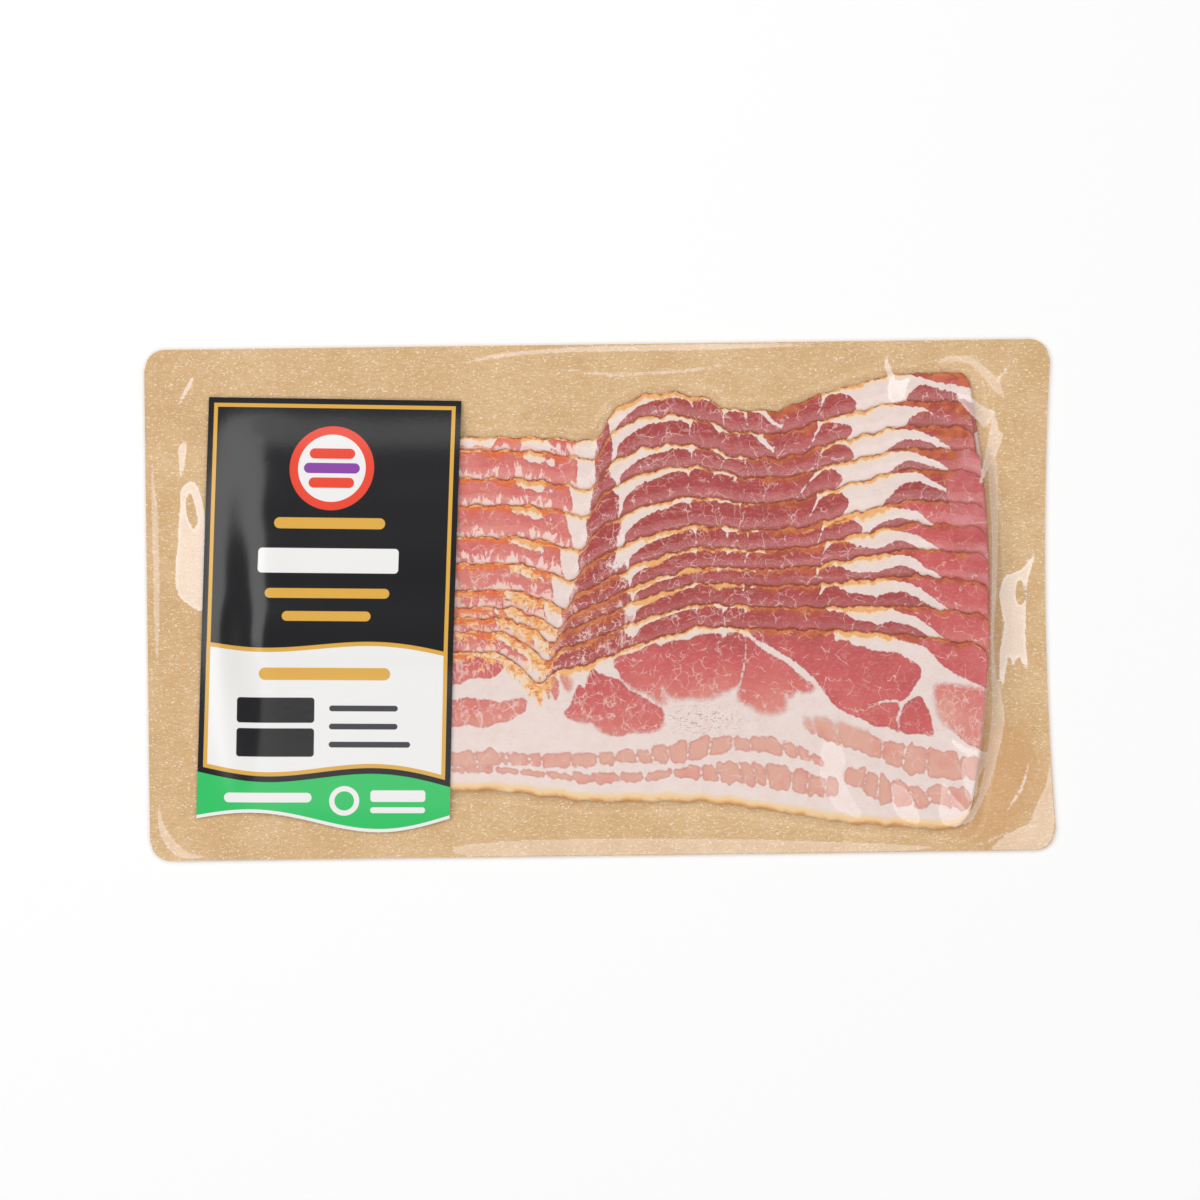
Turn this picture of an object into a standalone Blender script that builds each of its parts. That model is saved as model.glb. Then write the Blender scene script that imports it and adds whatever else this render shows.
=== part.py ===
"""Flat skin pack of sliced bacon, lying face up.

A kraft board carries eleven slices that lie like shingles, each a step nearer the
front than the one under it. A clear film is drawn down over them onto the board, and
a label is stuck on the film over their left ends.

Metres, +Z up, +X along the board, +Y towards the rearmost slice. The origin is under
the middle of the board.
"""

import math
import random

import bmesh
import bpy
import numpy as np

GAP = 0.0003  # air kept between pieces that touch

# Board
BOARD_LENGTH = 0.280
BOARD_WIDTH = 0.158
BOARD_THICKNESS = 0.0009
BOARD_CORNER = 0.0065
BOARD_WAIST = 0.0024  # how far the middle of the right-hand end is drawn in
WAIST_REACH = 0.013  # how far in from that end the sheet is drawn with it
BOARD_ROWS = 6
CORNER_STEPS = 5

# Slices
SLICE_COUNT = 11
SLICE_THICKNESS = 0.0009
SLICE_ROWS = 5
SLICE_CORNER = 0.004
COLUMN_WIDTH = 0.011
LAYER = SLICE_THICKNESS + GAP
LEFT_END = -0.1055
RIGHT_END = 0.1198
END_CURVE = 1.3  # the right-hand ends lie on a curve: set back by this times y squared
END_FADE = 3  # and that dies away to the left with this power of x
END_STAGGER = 0.0010
STAGGER_SEED = 7
HINGE_SOFTNESS = 0.9  # layers over which a slice bends where it leaves the board

# Upper edge of a slice from left to right, on the rearmost slice and on the front one
UPPER_EDGE = (
    ((-0.1055, 0.0514), (-0.1055, -0.0142)),  # left end
    ((-0.0193, 0.0506), (-0.0309, -0.0155)),  # end of the straight left-hand run
    ((-0.0069, 0.0495), (-0.0236, -0.0208)),
    ((0.0002, 0.0494), (-0.0193, -0.0267)),  # notch between the two muscles
    ((0.0018, 0.0541), (-0.0155, -0.0221)),
    ((0.0050, 0.0584), (-0.0031, -0.0192)),  # round shoulder
    ((0.0134, 0.0632), (0.0124, -0.0132)),
    ((0.0233, 0.0640), (0.0311, -0.0082)),  # crest of the shoulder
    ((0.0338, 0.0620), (0.0440, -0.0090)),
    ((0.0400, 0.0584), (0.0520, -0.0094)),  # saddle
    ((0.0560, 0.0577), (0.0697, -0.0099)),
    ((0.0697, 0.0628), (0.0805, -0.0107)),
    ((0.0939, 0.0687), (0.0975, -0.0121)),
    ((0.1198, 0.0690), (0.1198, -0.0156)),  # right end
)
# From one upper edge to the next, rear to front, at the left, the middle and the right
STEPS_LEFT = (3.1, 8.7, 8.7, 9.9, 8.0, 8.7, 5.0, 2.8, 3.4, 5.9)
STEPS_MIDDLE = (7.4, 8.7, 6.5, 9.3, 8.7, 6.5, 5.9, 5.0, 6.5, 6.8)
STEPS_RIGHT = (8.4, 7.4, 6.8, 6.2, 9.3, 7.0, 7.6, 8.0, 9.4, 8.8)
STEPS_AT = (-0.040, 0.030, 0.090)  # where along the pack those three are

# Lower edge of the front slice, and the step from one lower edge to the next
LOWER_EDGE = (
    (-0.1055, -0.0575),
    (-0.0315, -0.0585),
    (-0.0037, -0.0622),
    (0.0304, -0.0626),
    (0.0489, -0.0650),
    (0.0767, -0.0697),
    (0.1107, -0.0722),
    (0.1198, -0.0700),
)
LOWER_STEP_LEFT = 0.0064
LOWER_STEP_RIGHT = 0.0081

# Film
FILM_THICKNESS = 0.0003
FILM_EDGE_INSET = 0.0003
FILM_CLEARANCE = 0.0003
FILM_ROWS = 24
FILM_STACK_COLUMNS = 31
FILM_TENT_LEFT = (-0.118, -0.108)  # foot and shoulder of the film beside the left ends
FILM_TENT_RIGHT = (0.132, 0.123)  # foot and shoulder beside the right ends
FILM_TENT_COLUMNS = 3
EDGE_STEP_BEYOND = 0.007  # how far the film takes to come down one layer
FILM_REACH = 0.0025  # the film spans dips narrower than twice this

# Label
LABEL_THICKNESS = 0.0003
LABEL_CORNERS = ((-0.1200, 0.0642), (-0.0420, 0.0620), (-0.0473, -0.0669), (-0.1256, -0.0659))
LABEL_SAG = -0.00175  # the foot of the label is a wave: one half sine
LABEL_WAVE = 0.00298  # plus one full sine
LABEL_WAVE_STRIPS = 8
SPLIT_TOLERANCE = 1e-6  # a cut this near a vertex goes through it


def in_order(pairs):
    """The x values and the y values of a list of points."""
    return [x for x, _ in pairs], [y for _, y in pairs]


def share_done(steps, index):
    """How far slice index is from the rear slice to the front one, from 0 to 1."""
    reached = np.concatenate([[0.0], np.cumsum(steps)]) / sum(steps)
    return float(reached[index])


def landmarks(index):
    """The points of the upper edge of slice index."""
    points = []
    for rear, front in UPPER_EDGE:
        across = [share_done(steps, index) for steps in (STEPS_LEFT, STEPS_MIDDLE, STEPS_RIGHT)]
        share = float(np.interp(rear[0], STEPS_AT, across))
        points.append((rear[0] + (front[0] - rear[0]) * share, rear[1] + (front[1] - rear[1]) * share))
    return points


EDGES = [landmarks(index) for index in range(SLICE_COUNT)]


def upper_edge(x, index):
    return float(np.interp(x, *in_order(EDGES[index])))


def lower_step(x):
    return float(np.interp(x, (LEFT_END, RIGHT_END), (LOWER_STEP_LEFT, LOWER_STEP_RIGHT)))


def lower_edge(x, index):
    return float(np.interp(x, *in_order(LOWER_EDGE))) + (SLICE_COUNT - 1 - index) * lower_step(x)


def layers_begun(x, y):
    """How many lower edges lie behind this place, smoothed where the first one starts."""
    count = (SLICE_COUNT - 1) - (y - lower_edge(x, SLICE_COUNT - 1)) / lower_step(x)
    return 0.5 * (count + math.hypot(count, HINGE_SOFTNESS)) - 0.5 * HINGE_SOFTNESS


def layers_over(x, y):
    """How many slices, counted from the rearmost, reach this place with their upper edges.

    Beyond the rearmost edge the count goes on down, so that the film comes down there.
    """
    edges = [upper_edge(x, index) for index in range(SLICE_COUNT)]
    beyond = [edges[0] + EDGE_STEP_BEYOND * more for more in (2, 1)]
    heights = beyond + edges
    counts = [index - 1 for index in range(len(heights))]
    return float(np.interp(-y, [-height for height in heights], counts))


def slice_underside(x, y, index):
    return BOARD_THICKNESS + GAP + LAYER * (index - layers_begun(x, y))


def tent(x):
    """1 over the slices, curving down to 0 where the film meets the board past their ends."""
    foot, shoulder = FILM_TENT_LEFT if x < 0 else FILM_TENT_RIGHT
    share = min(1.0, max(0.0, (x - foot) / (shoulder - foot)))
    return 0.5 - 0.5 * math.cos(math.pi * share)


def film_underside(x, y):
    """The film rests on the highest slice near each place, or on the board."""
    nearby = [(x + dx, y + dy) for dx in (-FILM_REACH, 0, FILM_REACH) for dy in (-FILM_REACH, 0)]
    stack = max(layers_over(*place) - layers_begun(*place) for place in nearby)
    return BOARD_THICKNESS + GAP + max(0.0, stack * LAYER + FILM_CLEARANCE) * tent(x)


def corner_inset(distance, radius):
    """How far a side is drawn in by a round corner, this far from the end."""
    return radius - math.sqrt(max(0.0, radius**2 - max(0.0, radius - distance) ** 2))


def corner_columns(end, radius, towards):
    """Places along X that divide a round corner evenly, starting at the end itself."""
    turns = [math.pi / 2 * step / CORNER_STEPS for step in range(CORNER_STEPS)]
    return [end + towards * radius * (1 - math.cos(turn)) for turn in turns]


def with_corners(start, end, radius, between):
    """Columns from start to end: both round corners, and the given ones between them."""
    return corner_columns(start, radius, 1) + between + corner_columns(end, radius, -1)[::-1]


def sheet(columns, rows, low, high, height):
    """An open grid between two curves, each vertex at height(x, y)."""
    bm = bmesh.new()
    spans = len(columns) - 1
    bmesh.ops.create_grid(bm, x_segments=spans, y_segments=rows, size=1)
    for vert in bm.verts:
        x = columns[round((vert.co.x + 1) / 2 * spans)]
        y = low(x) + (high(x) - low(x)) * (vert.co.y + 1) / 2
        vert.co = (x, y, height(x, y))
    bmesh.ops.triangulate(bm, faces=bm.faces)
    return bm


def thicken(bm, thickness):
    """Turns an open sheet into a closed one by raising a copy of it."""
    raised = bmesh.ops.extrude_face_region(bm, geom=bm.faces[:])["geom"]
    tops = [item for item in raised if isinstance(item, bmesh.types.BMVert)]
    bmesh.ops.translate(bm, verts=tops, vec=(0, 0, thickness))
    bmesh.ops.recalc_face_normals(bm, faces=bm.faces)


def add_piece(name, bm, material):
    mesh = bpy.data.meshes.new(name)
    bm.to_mesh(mesh)
    bm.free()
    mesh.materials.append(material)
    piece = bpy.data.objects.new(name, mesh)
    bpy.context.scene.collection.objects.link(piece)
    return piece


def finish(name, colour, roughness, alpha=1.0):
    material = bpy.data.materials.new(name)
    material.use_nodes = True
    surface = material.node_tree.nodes["Principled BSDF"]
    surface.inputs["Base Color"].default_value = (*colour, 1)
    surface.inputs["Roughness"].default_value = roughness
    surface.inputs["Metallic"].default_value = 0.0
    surface.inputs["Alpha"].default_value = alpha
    return material


def board_sheet(inset, between, rows, height):
    """A sheet with the outline of the board, smaller by an inset all round."""
    end = BOARD_LENGTH / 2 - inset
    side = BOARD_WIDTH / 2 - inset

    def edge(x):
        return side - corner_inset(end - abs(x), BOARD_CORNER)

    inner = [-end + BOARD_CORNER, *between, end - BOARD_CORNER]
    columns = with_corners(-end, end, BOARD_CORNER, inner)
    bm = sheet(columns, rows, lambda x: -edge(x), edge, height)
    draw_in_right_end(bm)
    return bm


def draw_in_right_end(bm):
    """Bows the right-hand end inwards between its corners."""
    straight = BOARD_WIDTH / 2 - BOARD_CORNER
    start = BOARD_LENGTH / 2 - WAIST_REACH
    for vert in bm.verts:
        share = max(0.0, (vert.co.x - start) / WAIST_REACH)
        vert.co.x -= BOARD_WAIST * share * max(0.0, 1 - (vert.co.y / straight) ** 2)


def make_board():
    bm = board_sheet(0, [], BOARD_ROWS, lambda x, y: 0.0)
    thicken(bm, BOARD_THICKNESS)
    add_piece("board", bm, finish("kraft board", (0.62, 0.44, 0.26), 0.75))


def slice_columns(index, start, end):
    """The landmarks of the upper edge, with more columns where they are far apart."""
    marks = [x for x, _ in EDGES[index]]
    marks[0] = start + SLICE_CORNER
    marks[-1] = end - SLICE_CORNER
    columns = [marks[0]]
    for a, b in zip(marks, marks[1:]):
        cells = max(1, round((b - a) / COLUMN_WIDTH))
        columns += [a + (b - a) * cell / cells for cell in range(1, cells + 1)]
    return with_corners(start, end, SLICE_CORNER, columns)


def make_slice(index, draw, material):
    start = LEFT_END + draw.uniform(-1, 1) * END_STAGGER
    end = RIGHT_END + draw.uniform(-1, 1) * END_STAGGER

    def inset(x):
        return corner_inset(min(x - start, end - x), SLICE_CORNER)

    bm = sheet(
        slice_columns(index, start, end),
        SLICE_ROWS,
        lambda x: lower_edge(x, index) + inset(x),
        lambda x: upper_edge(x, index) - inset(x),
        lambda x, y: 0.0,
    )
    for vert in bm.verts:
        share = max(0.0, vert.co.x / end) ** END_FADE
        vert.co.x -= share * END_CURVE * vert.co.y**2
        vert.co.z = slice_underside(vert.co.x, vert.co.y, index)
    thicken(bm, SLICE_THICKNESS)
    add_piece(f"slice_{index + 1:02}", bm, material)


def film_sheet():
    """The film's underside, from rim to rim of the board."""
    left = np.linspace(*FILM_TENT_LEFT, FILM_TENT_COLUMNS, endpoint=False)
    stack = np.linspace(FILM_TENT_LEFT[1], FILM_TENT_RIGHT[1], FILM_STACK_COLUMNS)
    right = np.linspace(*FILM_TENT_RIGHT, FILM_TENT_COLUMNS, endpoint=False)[::-1]
    between = np.concatenate([left, stack, right]).tolist()
    return board_sheet(FILM_EDGE_INSET, between, FILM_ROWS, film_underside)


def make_film():
    bm = film_sheet()
    thicken(bm, FILM_THICKNESS)
    add_piece("film", bm, finish("clear film", (0.93, 0.93, 0.92), 0.12, alpha=0.2))


def split(bm, faces, start, end):
    """Splits faces along the upright plane through start and end."""
    normal = (end[1] - start[1], start[0] - end[0], 0)
    edges = {edge for face in faces for edge in face.edges}
    verts = {vert for face in faces for vert in face.verts}
    geometry = [*verts, *edges, *faces]
    bmesh.ops.bisect_plane(bm, geom=geometry, dist=SPLIT_TOLERANCE, plane_co=(*start, 0), plane_no=normal)


def inside(outline, x, y):
    """Whether a place is inside an outline, by counting the sides to the right of it."""
    crossings = 0
    for (x0, y0), (x1, y1) in zip(outline, outline[1:] + outline[:1]):
        if (y0 > y) != (y1 > y) and x < x0 + (x1 - x0) * (y - y0) / (y1 - y0):
            crossings += 1
    return crossings % 2 == 1


def label_foot(share):
    """A point on the wavy foot of the label, from its left corner to its right."""
    (right_x, right_y), (left_x, left_y) = LABEL_CORNERS[2:]
    wave = LABEL_SAG * math.sin(math.pi * share) + LABEL_WAVE * math.sin(2 * math.pi * share)
    return left_x + (right_x - left_x) * share, left_y + (right_y - left_y) * share + wave


def make_label():
    """The label follows the film, so it is cut from the film's own sheet."""
    bm = film_sheet()
    top_left, top_right, foot_right, foot_left = LABEL_CORNERS
    for start, end in ((top_right, top_left), (foot_right, top_right), (top_left, foot_left)):
        split(bm, bm.faces[:], start, end)
    foot = [label_foot(step / LABEL_WAVE_STRIPS) for step in range(LABEL_WAVE_STRIPS + 1)]
    for x, y in foot[1:-1]:
        split(bm, bm.faces[:], (x, y), (x, y + 1))
    for start, end in zip(foot, foot[1:]):
        strip = [face for face in bm.faces if start[0] < face.calc_center_median().x < end[0]]
        split(bm, strip, start, end)
    outline = [top_left, top_right, *foot[::-1]]
    off = [face for face in bm.faces if not inside(outline, *face.calc_center_median().xy)]
    bmesh.ops.delete(bm, geom=off, context="FACES")
    bmesh.ops.translate(bm, verts=bm.verts, vec=(0, 0, FILM_THICKNESS + GAP))
    thicken(bm, LABEL_THICKNESS)
    add_piece("label", bm, finish("printed label", (0.03, 0.03, 0.035), 0.35))


def main():
    for thing in list(bpy.data.objects):
        bpy.data.objects.remove(thing)
    make_board()
    draw = random.Random(STAGGER_SEED)
    meat = finish("cured pork belly", (0.62, 0.26, 0.22), 0.42)
    for index in range(SLICE_COUNT):
        make_slice(index, draw, meat)
    make_film()
    make_label()


main()
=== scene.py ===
"""Looks of a flat skin pack of sliced bacon, lying face up and seen from straight above.

The slices, film, label and board of the frame are replaced by finer pieces of the same
form. Shapes are worked out in millimetres, with +X along the board, +Y towards the
rearmost slice and +Z up, and MM turns them into the frame's metres.
"""

import math
import random

import bmesh
import bpy
import numpy as np
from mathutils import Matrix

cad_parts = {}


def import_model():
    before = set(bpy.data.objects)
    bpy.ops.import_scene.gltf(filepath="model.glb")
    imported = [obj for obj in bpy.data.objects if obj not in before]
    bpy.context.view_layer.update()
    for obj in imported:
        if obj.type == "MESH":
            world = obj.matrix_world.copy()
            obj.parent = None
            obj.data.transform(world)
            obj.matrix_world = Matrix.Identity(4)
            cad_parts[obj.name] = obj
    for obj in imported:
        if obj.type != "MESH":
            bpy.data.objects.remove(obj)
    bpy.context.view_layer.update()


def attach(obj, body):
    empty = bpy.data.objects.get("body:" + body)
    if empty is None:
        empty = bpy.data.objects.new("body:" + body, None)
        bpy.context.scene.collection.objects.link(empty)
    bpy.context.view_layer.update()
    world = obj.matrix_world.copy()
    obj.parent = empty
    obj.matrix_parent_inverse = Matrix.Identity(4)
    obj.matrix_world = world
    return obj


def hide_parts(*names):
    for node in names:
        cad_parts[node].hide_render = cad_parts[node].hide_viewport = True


MM = 0.001
SHARP_ANGLE = 50  # in degrees: gentler bends are shaded smooth
FILM_CELLS = (290, 165)
BOARD_CELLS = (280, 60)
LABEL_CELLS = (80, 130)

# Board
BOARD_LENGTH = 280.0
BOARD_WIDTH = 158.0
BOARD_THICKNESS = 0.9
BOARD_CORNER = 6.5
BOARD_WAIST = 2.4  # how far the middle of the right-hand end is drawn in
STAIN = (119, -58, 0)  # where fat has soaked into the board

# Slices
SLICE_COUNT = 11
SLICE_THICKNESS = 0.9
GAP = 0.3
LAYER = SLICE_THICKNESS + GAP
LEFT_END = -105.5
RIGHT_END = 119.8
END_STAGGER = 1.0
END_CURVE = 0.0013  # the right-hand ends are set back by this times y squared
SLICE_CORNER = 4.0
HINGE_SOFTNESS = 0.9
SLICE_COLUMN = 0.5  # width of a column of the mesh
SHOWN_DEPTH = 13.0  # how far the next slice leaves a slice open to view, at most
SHOWN_PACKING = 1.2  # over 1, its rows lie closer near the upper edge
SHOWN_ROWS = 30
HIDDEN_ROWS = 5
FRONT_ROWS = 104
EDGE_ROUNDING = 0.7
EDGE_THINNING = 0.65  # share of the thickness that an edge loses
FAT_RELIEF = 0.05  # how far fat stands over lean
CROSS_RELIEF = 0.06
FOOT_RIPPLE = (0.3, 14.0)  # height and longest wave
EDGE_RIPPLES = ((0.42, 100, 11.0), (0.17, 200, 3.4), (0.1, 250, 1.3))  # height, seed, longest wave

# Seeds of the other ripples: a slice or a streak adds its own number to all but fringe and flap
SEEDS = {
    "ends": 40, "foot": 150, "bead line": 300, "bead width": 310, "bead form": 320,
    "lens": 430, "fine lens": 440, "fringe": 460, "sway": 500, "sink": 600,
    "bows": 700, "nicks": 800, "smoke": 900, "rind": 910, "fine rind": 930,
    "rind patches": 950, "skew": 960, "flap": 970, "relief": 990,
}

# Upper edge of a slice from left to right, on the rearmost slice and on the front one
UPPER_EDGE = (
    ((-105.5, 51.4), (-105.5, -14.2)),  # left end
    ((-19.3, 50.6), (-30.9, -15.5)),  # end of the straight left-hand run
    ((-6.9, 49.5), (-23.6, -20.8)),
    ((0.2, 49.4), (-19.3, -26.7)),  # notch between the two muscles
    ((1.8, 54.1), (-15.5, -22.1)),
    ((5.0, 58.4), (-3.1, -19.2)),  # round shoulder
    ((13.4, 63.2), (12.4, -13.2)),
    ((23.3, 64.0), (31.1, -8.2)),  # crest of the shoulder
    ((33.8, 62.0), (44.0, -9.0)),
    ((40.0, 58.4), (52.0, -9.4)),  # saddle
    ((56.0, 57.7), (69.7, -9.9)),
    ((69.7, 62.8), (80.5, -10.7)),
    ((93.9, 68.7), (97.5, -12.1)),
    ((119.8, 69.0), (119.8, -15.6)),  # right end
)
# From one upper edge to the next, rear to front, at the left, the middle and the right
STEPS = (
    (3.1, 8.7, 8.7, 9.9, 8.0, 8.7, 5.0, 2.8, 3.4, 5.9),
    (7.4, 8.7, 6.5, 9.3, 8.7, 6.5, 5.9, 5.0, 6.5, 6.8),
    (8.4, 7.4, 6.8, 6.2, 9.3, 7.0, 7.6, 8.0, 9.4, 8.8),
)
STEPS_AT = (-40.0, 30.0, 90.0)

# Lower edge of the front slice, and the step from one lower edge to the next
LOWER_EDGE = (
    (-105.5, -57.5),
    (-31.5, -58.5),
    (-3.7, -62.2),
    (30.4, -62.6),
    (48.9, -65.0),
    (76.7, -69.7),
    (110.7, -72.2),
    (119.8, -70.0),
)
LOWER_STEPS = (6.4, 8.1)

# Film
FILM_THICKNESS = 0.12
FILM_CLEARANCE = 0.22
FILM_INSET = 0.3
FIELD_STEP = 1.0
FILM_PULL = 5  # rounds of levelling: more of them leave a skin bridging wider dips
SKIN_MARGIN = 1.0  # how far the film's height is worked out past the board
LABEL_PULL = 120
LABEL_EASE = 20  # rounds of plain levelling after that
LIFT_REACH = 7  # mm round a place where the label would sink in, lifted along with it

# Places where the film looks milky, partly where it has come away from the board and partly as painted
# reflections of the lights on its creases, bends and edges: (outline, strength), 0 for a hole
HAZE = (
    (
        ((-129.3, 35), (-127.4, 37.7), (-125.5, 38.3), (-123.7, 36.4), (-122.5, 32.4), (-121.7, 26),
         (-122, 14), (-122.6, -1), (-125.1, -1.3), (-127.6, 0.3), (-130, 2.5), (-131.2, 6.8),
         (-131.1, 11.5), (-130.4, 18.6), (-130.1, 23.8), (-129.4, 30)),
        0.34,
    ),
    (
        ((-126.2, 34.6), (-125, 31), (-124.2, 26.2), (-124.8, 23.5), (-126.3, 25), (-127.5, 29.4),
         (-127.2, 33)),
        0,
    ),
    (((-129.8, 48), (-127.2, 51), (-127.6, 44.2), (-128.9, 39), (-129.5, 41.8)), 0.26),
    (((-129.6, 61.9), (-127, 68.1), (-124.5, 70.8), (-125.2, 68.3), (-127.7, 64)), 0.26),
    (
        ((124, 3.6), (125.6, 6.1), (128.4, 7.3), (130.9, 8.5), (134.7, 13.1), (133.4, 7.6), (132.1, 3.2),
         (131.7, -5.4), (131.5, -14.1), (132, -23.1), (130.2, -20.9), (129, -19.3), (127.4, -22.4),
         (126.2, -19), (125.2, -23.3), (124.3, -27.6), (123.1, -24.5), (123.2, -17.1), (124.8, -9.7),
         (123.3, -1.3)),
        0.36,
    ),
    (((129, 3.3), (129.9, 4.5), (130.8, 2.6), (131.1, -1.7), (129.8, -3.2), (128.6, -1.1)), 0),
    (
        ((138.8, -50.7), (136.9, -59), (133.7, -65.5), (131.8, -70.4), (126.2, -73.1), (119.9, -78.9),
         (132.9, -79.4), (137.2, -77.6), (139.5, -72.4), (139.6, -60.6)),
        0.16,
    ),
    (((132.3, -50), (130.7, -58.6), (127.2, -64.2), (124.7, -66.9), (126.6, -63.5), (129.4, -58.6)), 0.24),
    (((126.8, -72.5), (119.9, -76.1), (109.1, -79.1), (118.4, -75.8)), 0.2),
    (
        ((89.3, 74.9), (91.1, 69.7), (92.6, 66.5), (96.7, 67.4), (95.4, 64.3), (94.1, 60.6), (90.4, 59.8),
         (89.5, 63.5), (89.9, 67.5), (88.7, 71.2)),
        0.26,
    ),
    (
        ((110.2, 62.3), (114.8, 61.3), (120.1, 57.8), (123.1, 56.9), (121.9, 54.7), (119.7, 51.7),
         (116.9, 53.9), (112.9, 57.9)),
        0.24,
    ),
    (
        ((122.8, 56.6), (124, 51), (125.5, 49.7), (123.3, 44.2), (119.8, 38.7), (116.6, 31.9),
         (117.7, 38.7), (119.9, 46.1)),
        0.2,
    ),
    (
        ((105.1, 72), (107.6, 73.8), (114.1, 74.3), (117.2, 72.7), (121.8, 69), (124.8, 64.9),
         (125.7, 61.2), (122.9, 62.8), (119.9, 66.5), (115.6, 70.9), (111, 72.5)),
        0.12,
    ),
    (((128.6, 72.3), (125.5, 68), (122, 63.1), (124.5, 68.3)), 0.26),
    (((131.6, 65.1), (127.5, 61.8), (125.9, 57.2), (126.9, 61.5)), 0.22),
    (((135.8, 56.1), (131.5, 54.3), (127.1, 51.3), (130.8, 53.7)), 0.24),
    (
        ((-41.6, 73.5), (-29.8, 75.2), (-11.2, 76.5), (25.9, 76.7), (60, 77.5), (75.5, 78.5), (50.7, 78.8),
         (1.2, 78.5), (-20.5, 77.5), (-32.9, 76.2)),
        0.16,
    ),
    (
        ((-15.9, 72.5), (1.1, 70.5), (13.5, 70.3), (29, 71.4), (44.4, 73), (28.9, 70.1), (13.5, 69.1),
         (1.1, 69.2)),
        0.13,
    ),
    (
        ((-45.6, -75.6), (-25.5, -74), (-0.7, -73.7), (30.2, -74.1), (61.2, -75.1), (101.4, -77.4),
         (92.1, -78.9), (61.1, -79.1), (-13.1, -79.1), (-41, -78.8)),
        0.12,
    ),
    (
        ((67.7, -45.5), (72.7, -44.9), (75.1, -50.5), (73.8, -54.2), (76.2, -60.4), (79.8, -66.7),
         (78.6, -68.5), (74.9, -66.6), (71.8, -65.3), (68.8, -60.3), (67, -55.4)),
        0.09,
    ),
    (
        ((89.2, -57.5), (93.5, -59.4), (96.6, -64.4), (97.7, -70), (93.4, -69.3), (90.4, -66.8),
         (89.2, -61.8)),
        0.15,
    ),
    (
        ((104.7, -57.1), (108.4, -62.1), (112, -65.8), (114.5, -68.9), (110.7, -70.8), (106.4, -71.3),
         (103.9, -68.2), (104, -62)),
        0.15,
    ),
    (((111.3, -50), (118.4, -50.1), (116.2, -55.7), (115.5, -60.3), (112.7, -63.4), (110.9, -57.1)), 0.12),
    (((-138.2, 40), (-136.6, 34), (-136, 12), (-136.4, -10), (-137.6, -26), (-138, 5)), 0.12),
    (((-137.4, -56), (-135.4, -68), (-128, -76.5), (-118, -78), (-131, -78), (-137, -70)), 0.14),
    (((107.3, -43.5), (112.6, -47), (119.4, -48.6), (118.7, -50.4), (112.5, -49.1), (108.5, -46.6)), 0.16),
    (
        ((120.9, 50.4), (123.2, 38.6), (123.3, 23.1), (122.9, 10.8), (122.1, -1.6), (120.7, -13.9),
         (121.5, -21.7), (123.3, -29.5), (124.7, -38.1), (122.8, -48), (120.2, -57.3), (117, -64.3),
         (114.2, -68.6), (113.2, -67.1), (115.8, -61.8), (118.4, -51), (119.7, -41.8), (120.5, -32.5),
         (119.4, -17), (119.9, -1.6), (120.5, 17), (120.1, 35.6)),
        0.13,
    ),
)
HAZE_REACH = -9.0  # the distance kept where no such place is near

# Label
LABEL_THICKNESS = 0.15
LABEL_LIFT = 0.1
LABEL_CORNERS = ((-120.0, 64.2), (-42.0, 62.0), (-47.3, -66.9), (-125.6, -65.9))
LABEL_SAG = -1.75
LABEL_WAVE = 2.98
LABEL_WIDTH = 78.2
LABEL_HEIGHT = 129.5
PRINT_FIELD = 140.0  # side of the square that the label's UV map spans
PRINT_MARGIN = 5.0
PRINT_BLUR = 0.09  # half the width of a border between two inks
GOLD_LINE = (-0.2, 1.1)  # the gold line's sides, from the border of the white panel
# Borders of the white panel: height at the left and at the right, and two swings, as for the sag and wave
PANEL_TOP = (53.5, 50.1, 1.05, -1.73)
PANEL_FOOT = (16.4, 11.8, 0.65, -2.34)

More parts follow.
